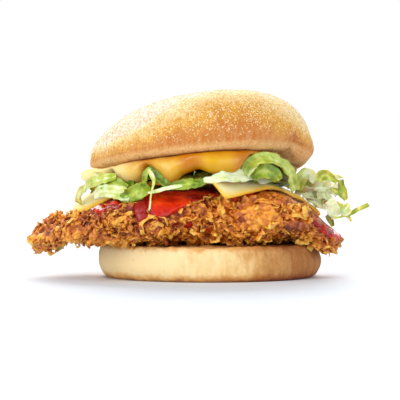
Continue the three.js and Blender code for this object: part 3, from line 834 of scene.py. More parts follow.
def flakeShapes(rng):
    # short bent strips that lie nearly flat or stand half up
    count = flakes["count"]
    places, normals, tones, stains = standingPlaces(count, rng)
    lean = unit(normals + 0.7 * rng.normal(size=normals.shape))
    ahead, _ = tangentFrames(lean, rng)
    along = np.linspace(-0.5, 0.5, flakes["rows"])[None]
    step = along * rng.uniform(*flakes["length"], count)[:, None]
    arch = 0.45 + rng.uniform(-0.16, 0.05, count)[:, None] * step ** 2
    spine = places[:, None] + ahead[:, None] * step[..., None] + lean[:, None] * arch[..., None]
    widths = rng.uniform(*flakes["width"], count)[:, None] * np.cos(along * np.pi * 0.86) ** 0.6
    widths = widths * (1 + 0.35 * np.sin(along * rng.uniform(5, 14, count)[:, None] + 6 * tones[:, None]))
    cup = rng.uniform(-0.1, 0.2, count)
    shapes, side, _ = strips(spine, widths, lean[:, None], ruffle=0.8, cup=cup, columns=flakes["columns"],
                             thickness=flakes["thickness"], seed=221, waveSize=2.1)
    shapes = crinkled(shapes, seed=225)
    # flakes are painted lighter at their edges, as painted highlight
    tone = 0.5 + 0.2 * np.abs(side) + 0.4 * perShape(tones - 0.5, side)
    return clearOfSlice(shapes, tone + 0.12 * perShape(rng.normal(size=count), side), perShape(stains, side))


def crumbShapes(rng):
    # small uneven balls sunk half-way into the crust
    count, rows, columns = crumbs["count"], crumbs["rows"], crumbs["columns"]
    places, normals, tones, stains = standingPlaces(count, rng)
    first, second = tangentFrames(normals, rng)
    rise = np.linspace(-0.9, 0.9, rows)[None, :, None]
    turn = fullTurn(columns)[None, None]
    size = rng.uniform(*crumbs["size"], count)[:, None, None] * rng.uniform(0.5, 1.3, (count, rows, columns))
    first = first * rng.uniform(0.6, 1.7, (count, 1))
    level = size * np.cos(rise)
    ways = (level * np.cos(turn), level * np.sin(turn), size * np.sin(rise) + 0.2)
    shapes = shapesAlong(places, (first, second, normals), ways)
    # crumbs are painted lighter on top, as painted light
    tone = 0.5 + 0.25 * np.sin(rise) + perShape(0.5 * (tones - 0.5) + 0.12 * rng.normal(size=count), size)
    return clearOfSlice(shapes, tone, perShape(stains, size))


# single curls that show most: places along X and Z on the front, then width and tone
frontCurls = {
    "sauceRidge": ([(-14.3, 31.5), (-12.5, 34), (-8.8, 35.4), (-5.2, 36.8), (-3.2, 38), (-0.6, 38.2),
                    (1.6, 39.4)], 3.2, 0.8),
    "fanRim": ([(-30.7, 23), (-30.8, 26.6), (-28.9, 29.4), (-25.4, 31), (-21.6, 30.2), (-19.8, 27)],
               3.4, 0.84),
    "fanFold": ([(-27.8, 22), (-27, 25), (-24.2, 27.6), (-21.5, 26.4)], 2.6, 0.74),
    "fanStep": ([(-24.6, 19.6), (-23.2, 22.6), (-20.4, 24), (-17.6, 22.4)], 2.4, 0.72),
    "leftKnob": ([(-52, 31.4), (-49.4, 33.6), (-46, 34.6), (-42.6, 33.8)], 2.8, 0.76),
    "leftRidge": ([(-66, 25), (-62, 28.2), (-58, 29.6), (-54, 29)], 2.4, 0.7),
    "rightFrill": ([(51, 25.4), (54.6, 24), (57.4, 21), (58.4, 17.6)], 2.4, 0.78),
    "tallCurl": ([(4.4, 35), (5.5, 33), (5.7, 31), (5.0, 28.6), (3.6, 27.4)], 2.4, 0.85),
    "hook": ([(0.4, 34), (-0.6, 31.5), (0.2, 29), (1.8, 28)], 2.2, 0.75),
    "leftKnobTop": ([(-56, 34.5), (-53.5, 37.4), (-50, 38.4), (-47, 37.2)], 2.6, 0.72),
    "leftFlake": ([(-46, 29.5), (-43.5, 31.4), (-40.5, 33.8), (-37.5, 34.6)], 3.0, 0.82),
    "leftFlakeLow": ([(-44, 26), (-41, 28.6), (-38, 30.8), (-35.4, 31.6)], 2.6, 0.74),
    "blisterRim": ([(20, 35.6), (23.5, 36.4), (27.6, 35.8), (31, 34)], 2.2, 0.62),
    "blisterFold": ([(17, 22.5), (22, 21.4), (27, 22), (31.5, 24)], 2.0, 0.7),
    "patchRim": ([(34.6, 29.2), (38, 29.8), (42, 29.4), (45.4, 28)], 2.4, 0.76),
    "lowCurl": ([(-16, 19), (-12.5, 20.4), (-9, 19.2), (-6.4, 20.6)], 2.2, 0.68),
}


def frontCurlShapes():
    # strips carried over the front of the crust, lifted a little and standing half up
    rows = 22
    along = np.linspace(0, 1, rows)
    front = filletCrust[filletCrust[..., 1] < -5]
    frontNormals = filletNormals[filletCrust[..., 1] < -5]
    nearness = 0.3 * (front[:, 1] < -30)
    paths, facings, widths = [], [], []
    for line, width, _ in frontCurls.values():
        nearest = [np.argmin(np.hypot(front[:, 0] - x, front[:, 2] - z) - nearness) for x, z in line]
        paths.append(curveThrough(front[nearest] + 0.7 * frontNormals[nearest], rows))
        facings.append(unit(curveThrough(frontNormals[nearest] + np.array([0, 0, 0.8]), rows)))
        widths.append(width * np.sin(np.clip(along, 0.06, 0.94) * np.pi) ** 0.4)
    shapes, side, veins = strips(*map(np.array, (paths, widths, facings)), ruffle=0.8, cup=0.16,
                                 thickness=0.8, columns=14, seed=241, waveSize=2.8)
    tones = np.array([tone for _, _, tone in frontCurls.values()])
    # the edges of the front curls are painted lighter, as painted highlight
    return clearOfSlice(shapes, perShape(tones, side) + 0.16 * (veins - 0.5) + 0.1 * np.abs(side), 0 * side)


for pieceName, (pieceShapes, pieceTone, pieceStain) in {
    "crustCurls": curlShapes(np.random.default_rng(curls["seed"])),
    "crustFlakes": flakeShapes(np.random.default_rng(flakes["seed"])),
    "crustCrumbs": crumbShapes(np.random.default_rng(crumbs["seed"])),
    "frontCurls": frontCurlShapes(),
}.items():
    skin(pieceName, pieceShapes, friedCrust, "fried_crust", tone=pieceTone, stain=pieceStain)


# Red sauce

def redSaucePoints():
    # the fillet's plain surface, lifted in soft folds where the sauce lies and sunk into the crust elsewhere
    angle, rise = np.meshgrid(fullTurn(redSauce["columns"]),
                              np.linspace(*redSauce["rises"], redSauce["rows"]))
    base = filletSurface(angle, rise)
    normals = gridNormals(base)
    share = smooth(sauceDepth(base), -0.7, 0.7)
    folds = 0.5 * ridgedNoise(base * [0.5, 0.8, 1], 11, 51) + 0.4 * cloudNoise(base * [0.7, 1, 1], 5, 52)
    lift = redSauce["sunk"] + (redSauce["lift"] - redSauce["sunk"] + folds) * share
    points = base + normals * lift[..., None]
    points[..., 2] = np.minimum(points[..., 2], roofOver(points) + 0.3)
    # the left run is darkened in the fold tone, as painted shade
    maroon = redSauce["maroon"]
    dark = bell(points[..., 0] - maroon["at"], maroon["spread"]) * (points[..., 1] < 0)
    return points, folds - maroon["strength"] * dark


def redSauceMaterial():
    finish = Finish("redSauce", Roughness=0.2, Coat_Weight=0.12, Coat_Roughness=0.04, Specular_IOR_Level=0.3)
    tone = finish.weighed(finish.value("fold"), (finish.mottle(4.5), 0.26))
    finish.set("Base Color", finish.ramp(tone, redSauce["colours"]))
    finish.bump(finish.mottle(2.2, detail=2), 0.5, 0.6)
    return finish.material


redGrid, redFolds = redSaucePoints()
skin("redSauce", redGrid, redSauceMaterial(), "red_sauce", ["red_sauce"], fold=redFolds)


# Bun heel

heel = {
    "baseRadius": 47.5, "radius": 52.4, "widestAt": 7.5, "height": 16, "topRadius": 50, "lean": -0.04,
    "waves": [(0.01, 2, 0.7), (0.007, 3, 2.2)], "columns": 560,
    # where the cut edge is drawn in: angle, spread and depth
    "drawnIn": [(-8, 30, 1.8)],
    # where the side is browner (+) or paler (-): degrees round from the right, spread and strength. The
    # right end, left end and back are baked browner; the darker front is partly painted shade, and the paler
    # patch at the front left is painted light
    "browningAndLight": [(-16, 32, 0.95), (-50, 14, 0.3), (-84, 22, 0.16), (-178, 7, 0.5), (-142, 20, -0.25),
                 (60, 30, 0.4), (130, 20, 0.55)],
    "colours": {0.0: (240, 220, 172), 0.28: (232, 202, 146), 0.6: (208, 160, 96), 1.0: (164, 106, 50)},
    # multiplied on, from the base to the cut edge
    "edgeColours": {0.02: (178, 122, 64), 0.1: (230, 180, 108), 0.24: (255, 250, 238), 0.86: (255, 252, 246),
                    0.97: (232, 190, 132)},
    "spots": (190, 130, 66),
}


def heelPoints():
    # quarter ellipses from the base to the widest ring and in to the top edge, turned about Z
    baseRadius, topRadius, widestAt = heel["baseRadius"], heel["topRadius"], heel["widestAt"]
    baseTurn = np.linspace(0, np.pi / 2, 40)
    sideTurn = np.linspace(0, np.pi / 2, 60)[1:]
    baseReach, topReach = np.linspace(2, baseRadius, 12)[:-1], np.linspace(topRadius, 2, 30)[1:]
    radius = np.concatenate([baseReach, baseRadius + (heel["radius"] - baseRadius) * np.sin(baseTurn),
                             topRadius + (heel["radius"] - topRadius) * np.cos(sideTurn), topReach])[:, None]
    height = np.concatenate([0 * baseReach, widestAt * (1 - np.cos(baseTurn)),
                             widestAt + (heel["height"] - widestAt) * np.sin(sideTurn),
                             0 * topReach + heel["height"]])[:, None]
    angle = fullTurn(heel["columns"])[None]
    degrees = np.degrees(angle) + 0 * height
    share = 1 + wavesAt(angle, heel["waves"]) * smooth(height, 0, widestAt)
    reach = radius * share - swells(degrees, heel["drawnIn"]) * smooth(height, 8, 16)
    points = np.stack([reach * np.cos(angle) + heel["lean"] * height, reach * np.sin(angle),
                       height + 0 * angle], -1)
    normals = gridNormals(points)
    dents = clouds(points, (0.4, 14, 61)) + clouds(points * [1, 1, 0.5], (0.22, 5, 62), (0.09, 1.5, 63))
    lip = smooth(points[..., 2], 14.2, 16) * 0.6 * cloudNoise(points, 4, 64)
    points = points + normals * (dents * smooth(height, 0.3, 2.5) + lip)[..., None]
    return points, np.clip(points[..., 2] / heel["height"], 0, 1), swells(degrees, heel["browningAndLight"])


def heelMaterial():
    finish = Finish("heelBread", Roughness=0.75, Subsurface_Weight=0.05, Subsurface_Scale=0.002)
    # brown carries the bread's baking, with painted light and shade on the front
    brown = finish.weighed(finish.value("brown"), (finish.mottle(7, detail=4, stretch=(1, 1, 0.6)), 0.34),
                           (finish.mottle(2.2, stretch=(1, 1, 0.3)), 0.22), (finish.mottle(1.1), 0.1))
    up = finish.weighed(finish.value("up"), (finish.mottle(6), 0.1), (finish.mottle(1.8), 0.06))
    side, edges = finish.ramp(brown, heel["colours"]), finish.ramp(up, heel["edgeColours"])
    bread = finish.mix(0.9, side, edges, "MULTIPLY")
    spots = finish.times(finish.specks(3.4, 0.05, 0.3), finish.mottle(9, 0.5, 0.7))
    finish.set("Base Color", finish.mix(finish.times(spots, 0.35), bread, heel["spots"]))
    finish.bump(finish.mottle(0.9, detail=4), 0.16, 0.5)
    return finish.material


heelGrid, heelUp, heelBrown = heelPoints()
skin("bunHeel", heelGrid, heelMaterial(), "heel_bread", ["bun_heel"], up=heelUp, brown=heelBrown)


# Bun crown

crown = {
    "centre": (-4.5, 0, 48.9), "tilt": -12.3, "roll": 8, "radius": 52.8, "widestAt": 4.8, "height": 35.7,
    "curl": 2.4, "fullness": 2.41, "lean": 0.14, "columns": 580,
    # more curl at the rim on the right; the rim pressed up (+) or hanging down (-): angle, spread and size
    "curlMore": [(10, 46, 4.6)], "rimShifts": [(180, 42, 8), (90, 48, 4), (22, 26, -4)],
    # the crease in the rim: angle, spread and depth; pinched places beside it: angle and spread round the
    # rim, height and spread up it, depth; and a bulge: angle, spread and size
    "crease": (-28.5, 2.4, 3.0),
    "pinches": [(-22.3, 2.8, 2.3, 1.6, 2.4), (-29.2, 2.2, 5.2, 2, 1.6)], "bulge": (-11.5, 8, 2.2),
    # paler (+) or browner (-) places, partly the bread's baking and partly painted light (the pale left side
    # where the light falls, the darker low front as painted shade): angle and spread round the dome, height
    # and spread up it, strength
    "bakesAndLight": [(-150, 34, 18, 13, 0.74), (-84, 34, 10, 8, -0.06), (-16, 20, 14, 10, 0.55),
              (10, 40, -1, 3, -0.2)],
    "colours": {0.0: (186, 106, 18), 0.3: (192, 114, 22), 0.55: (218, 160, 56), 0.85: (247, 223, 160),
                1.0: (244, 232, 214)},
    # the rim colour is painted light: a paler band on the downward-facing curl, where shade falls
    "rim": (255, 216, 144), "meal": (255, 234, 172), "pores": (176, 110, 34), "streaks": (240, 204, 150),
}


def inCrownFrame(points):
    # from the crown's own upright axes to its place on the burger; the cheese sauce goes with it
    return placed(points, crown["tilt"], crown["roll"], crown["centre"])


def rimShift(x, y):
    # the swells round the rim, growing with the fourth power of the way out
    out = np.minimum(np.hypot(x, y) / crown["radius"], 1)
    return swells(np.degrees(np.arctan2(y, x)), crown["rimShifts"]) * out ** 4


def bakedPatches(degrees, up, places):
    # the sum of oval patches, each a bell round the side times a bell up it
    return sum(strength * bell(away(degrees, angle), width) * bell(up - level, depth)
               for angle, width, level, depth, strength in places)


def crownPoints():
    # cut face, a curl at the rim that is rounder on the right, and a superellipse dome leaning to the right
    radius, widest, height = crown["radius"], crown["widestAt"], crown["height"]
    angle = fullTurn(crown["columns"])[None]
    curl = crown["curl"] + swells(np.degrees(angle), crown["curlMore"])
    curlTurn = np.linspace(0, np.pi / 2, 30)[:, None]
    domeTurn = np.linspace(0, np.pi / 2, 126)[1:-1, None]
    power = 2 / crown["fullness"]
    face = np.linspace(0.02, 1, 14)[:-1, None]
    out = np.concatenate([face * (radius - curl), radius - curl + curl * np.sin(curlTurn),
                          radius * np.cos(domeTurn) ** power + 0 * angle])
    up = np.concatenate([0 * face, widest * (1 - np.cos(curlTurn)),
                         widest + (height - widest) * np.sin(domeTurn) ** power]) + 0 * angle
    x, y = out * np.cos(angle), out * np.sin(angle)
    z = up + rimShift(x, y) * np.maximum(1 - up / height, 0) ** 1.5
    points = np.stack([x + crown["lean"] * z, y, z], -1)
    normals = gridNormals(points)
    degrees = np.degrees(angle) + 0 * up
    low = 1 - smooth(up, 2, 14)
    pinch = swells(degrees, [crown["crease"]]) * (1 - smooth(up, 4, 10))
    pinch = pinch + bakedPatches(degrees, up, crown["pinches"]) - swells(degrees, [crown["bulge"]]) * low
    dents = clouds(points, (0.45, 17, 91), (0.13, 5, 92), (0.1, 1.3, 93))
    streaks = ridgedNoise(np.stack([degrees * 0.9, up * 0.16, 0 * up], -1), 1.5, 94) * low
    points = points + normals * (dents + 0.14 * streaks - pinch)[..., None]
    turned = inCrownFrame(points + normals) - inCrownFrame(points)
    # paler towards the top, partly the bread's colour and partly painted light from the lamps above and
    # behind; darker in the crease and pinches, as painted shade
    bake = up / height + bakedPatches(degrees, up, crown["bakesAndLight"]) - 0.12 * np.maximum(pinch, 0)
    return inCrownFrame(points), turned, up / height, bake, streaks


def crownMaterial():
    # baked bread with painted light and shade, a paler rim that is painted light, corn meal, pores and
    # streaks
    finish = Finish("crownBread", Roughness=0.7, Subsurface_Weight=0.04, Subsurface_Scale=0.002)
    up = finish.value("up")
    bake = finish.weighed(finish.value("bake"), (finish.mottle(15), 0.24), (finish.mottle(4), 0.14))
    # rim: a paler band low on the curl, painted light against its shade
    layers = {"rim": finish.ramp(up, {0.04: 175, 0.1: 0}),
              "meal": finish.times(finish.times(finish.specks(1.2, 0.14, 0.36),
                                                finish.ramp(up, {0.08: 90, 0.3: 235})), 0.9),
              "pores": finish.times(finish.mottle(1.1, 0.47, 0.6, 4), 0.5),
              "streaks": finish.times(finish.value("streak"), 0.2)}
    colour = finish.ramp(bake, crown["colours"])
    for layer, share in layers.items():
        colour = finish.mix(share, colour, crown[layer])
    finish.set("Base Color", colour)
    finish.bump(finish.mottle(1.0, detail=4), 0.22, 0.7)
    return finish.material


crownGrid, crownNormals, crownUp, crownPale, crownStreaks = crownPoints()
skin("bunCrown", crownGrid, crownMaterial(), "crown_bread", ["bun_crown"], up=crownUp, bake=crownPale,
     streak=crownStreaks)

# grains of corn meal baked on to the crown
meal = {"count": 11500, "size": (0.14, 0.36), "seed": 15,
        "colours": {0: (234, 190, 116), 1: (255, 240, 200)}}


def mealShapes(rng):
    # eight-cornered grains on random places of the dome, thinner towards the rim
    count = meal["count"]
    weight = (gridArea(crownGrid) * (0.1 + smooth(crownUp, 0.1, 0.5)) * (crownUp > 0.03)).ravel()
    picked = rng.choice(weight.size, count, p=weight / weight.sum())
    places, normals = crownGrid.reshape(-1, 3)[picked], crownNormals.reshape(-1, 3)[picked]
    first, second = tangentFrames(normals, rng)
    shift = rng.uniform(-0.4, 0.4, (2, count, 1))
    places = places + first * shift[0] + second * shift[1]
    turn = fullTurn(4)[None, None]
    level = np.array([-0.5, 0.5])[None, :, None]
    size = rng.uniform(*meal["size"], count)[:, None, None]
    ragged = size * rng.uniform(0.6, 1.2, (count, 2, 4))
    return shapesAlong(places, (first, second, normals),
                       (ragged * np.cos(turn), ragged * np.sin(turn), size * (level * 0.8 + 0.1)))


mealFinish = Finish("cornMeal", Roughness=0.65)
mealFinish.set("Base Color", mealFinish.ramp(mealFinish.mottle(2.5, detail=2), meal["colours"]))
skin("mealGrains", mealShapes(np.random.default_rng(meal["seed"])), mealFinish.material, "crown_bread")


# Cheese sauce

cheeseSauce = {
    "radius": 49.6, "thickness": 1.6, "edge": 0.5, "nose": 3.4, "top": -0.2, "columns": 560,
    # lobes: angle, half width, hang and how square each is
    "lobes": [(-132, 9.8, 7.9, 4.4), (-102.2, 13.6, 7, 3.1), (-106.8, 4.9, 3.4, 2.5),
              (-75.9, 12.7, 8.7, 3.9), (-166, 13, 4.6, 3), (44, 13, 4.5, 3), (76, 12, 3, 3),
              (112, 14, 5, 3), (146, 11, 3, 3)],
    # where the edge reaches out past the bun (+) or stops short (-): angle, spread and reach
    "reaches": [(-172, 9, 6), (-20, 22, -9)],
    # where it is paler and where it is painted deep orange: angle, spread and strength. The pale cream on
    # the left lobe is partly the sauce's colour and partly painted light from the key light, the narrow pale
    # stripes on the next lobes are painted highlights, and the deep orange places are painted shade
    "creamAndHighlights": [(-160, 18, 1.5), (-136, 5, 0.5), (-110, 5, 0.12)], "orange": [(-62, 8, 1), (-95, 5, 0.8)],
    # colours from the top of the layer down: the deep orange where it meets the bun is painted shade under
    # the bun
    "colours": {0.0: (188, 118, 0), 0.2: (208, 146, 0), 0.45: (216, 166, 4), 0.72: (208, 154, 0),
                1.0: (198, 142, 0)},
    # thin: deep orange where the sauce is thin between the lobes, partly painted shade there, and at the
    # painted shade places
    "cream": (255, 234, 162), "thin": (192, 116, 0),
}


def cheeseSaucePoints():
    # a flat layer whose rim is a rounded nose, deeper and further out at each flat-bottomed lobe
    thickness, top = cheeseSauce["thickness"], cheeseSauce["top"]
    angle = fullTurn(cheeseSauce["columns"])[None]
    degrees = np.degrees(angle)
    hang = sum(depth * np.exp(-np.abs(away(degrees, place) / half) ** power)
               for place, half, depth, power in cheeseSauce["lobes"])
    depth = thickness + cheeseSauce["edge"] + hang
    edge = cheeseSauce["radius"] + 0.2 * hang + 0.3 * np.sin(degrees / 7)
    edge = edge + swells(degrees, cheeseSauce["reaches"])
    nose = cheeseSauce["nose"] + 0.2 * hang
    turn = np.linspace(np.pi / 2, -np.pi / 2, 56)[:, None]
    over, under = np.linspace(0.03, 1, 16)[:-1, None], np.linspace(1, 0.03, 40)[1:, None]
    underLevel = top - thickness - (depth - thickness) * smooth(under, 0.78, 1.0)
    reach = np.concatenate([over * (edge - nose), edge - nose + nose * np.cos(turn) ** 0.8,
                            under * (edge - nose)])
    level = np.concatenate([top + 0 * over + 0 * angle, top - depth / 2 + depth / 2 * np.sin(turn),
                            underLevel + 0 * angle])
    x, y = reach * np.cos(angle), reach * np.sin(angle)
    points = np.stack([x, y, level + rimShift(x, y)], -1)
    waves = 0.35 * cloudNoise(points, 7, 121) * smooth(reach, 40, 46)
    points = points + gridNormals(points) * waves[..., None]
    # the pale patches are painted light and highlights; the deep orange spots are painted shade
    cream = swells(degrees, cheeseSauce["creamAndHighlights"])
    orange = np.minimum(swells(degrees, cheeseSauce["orange"]), 1)
    thick = np.clip(hang / 10 + 0.6 * cream, 0, 1) * (1 - orange)
    return inCrownFrame(points), np.clip(-level / 12, 0, 1), thick + 0 * level, cream + 0 * level


def cheeseSauceMaterial():
    finish = Finish("cheeseSauce", Roughness=0.26, Coat_Weight=0.22, Coat_Roughness=0.08,
                    Subsurface_Weight=0.15, Subsurface_Scale=0.003, Specular_IOR_Level=0.35)
    tone = finish.weighed(finish.value("drop"), (finish.mottle(8, detail=2), 0.2))
    creamed = finish.mix(finish.times(finish.value("cream"), 0.7), finish.ramp(tone, cheeseSauce["colours"]),
                         cheeseSauce["cream"])
    # thin deep orange between the lobes and at the painted shade places, held off where the painted
    # highlight lies
    thick = finish.ramp(finish.value("hang"), {0.15: 0, 0.62: 255})
    finish.set("Base Color", finish.mix(thick, cheeseSauce["thin"], creamed))
    finish.bump(finish.mottle(5, detail=2), 0.4, 0.3)
    return finish.material


sauceGrid, sauceDrop, sauceHang, sauceCream = cheeseSaucePoints()
skin("cheeseSauce", sauceGrid, cheeseSauceMaterial(), "cheese_sauce", ["cheese_sauce"], drop=sauceDrop,
     hang=sauceHang, cream=sauceCream)


# Pickle slice

pickle = {
    "centre": (-7.5, -40.5, 48.4), "radius": 8.5, "thickness": 3.6, "tilt": 20, "roll": 8,
    "colours": {0.0: (52, 44, 14), 0.5: (92, 92, 30), 0.8: (138, 140, 56), 1.0: (170, 170, 90)},
}


def picklePoints():
    # a disc with a rounded, slightly ribbed rim, tilted forwards
    angle = fullTurn(160)[None]
    half = pickle["thickness"] / 2
    turn = np.linspace(-np.pi / 2, np.pi / 2, 22)[:, None]
    inner = np.linspace(0.05, 1, 18)[:-1, None]
    edge = pickle["radius"] * (1 + 0.03 * np.sin(9 * angle) + 0.02 * np.sin(4 * angle + 1))
    flat = inner * (edge - half)
    reach = np.concatenate([flat, edge - half + half * np.cos(turn), flat[::-1]])
    level = half * np.concatenate([0 * inner - 1, np.sin(turn), 0 * inner + 1]) + 0 * angle
    points = np.stack([reach * np.cos(angle), reach * np.sin(angle), level], -1)
    points[..., 2] += clouds(points, (0.35, 3, 111), (0.12, 1.2, 112))
    return placed(points, pickle["tilt"], pickle["roll"], pickle["centre"])


pickleFinish = Finish("pickleSkin", Roughness=0.2, Coat_Weight=0.4, Coat_Roughness=0.06)
pickleFinish.set("Base Color", pickleFinish.ramp(pickleFinish.mottle(4.5, 0.32, 0.68), pickle["colours"]))
pickleFinish.bump(pickleFinish.mottle(1.5), 0.3, 0.5)
skin("pickleSlice", picklePoints(), pickleFinish.material, "pickle", ["pickle_slice"])


# Lettuce

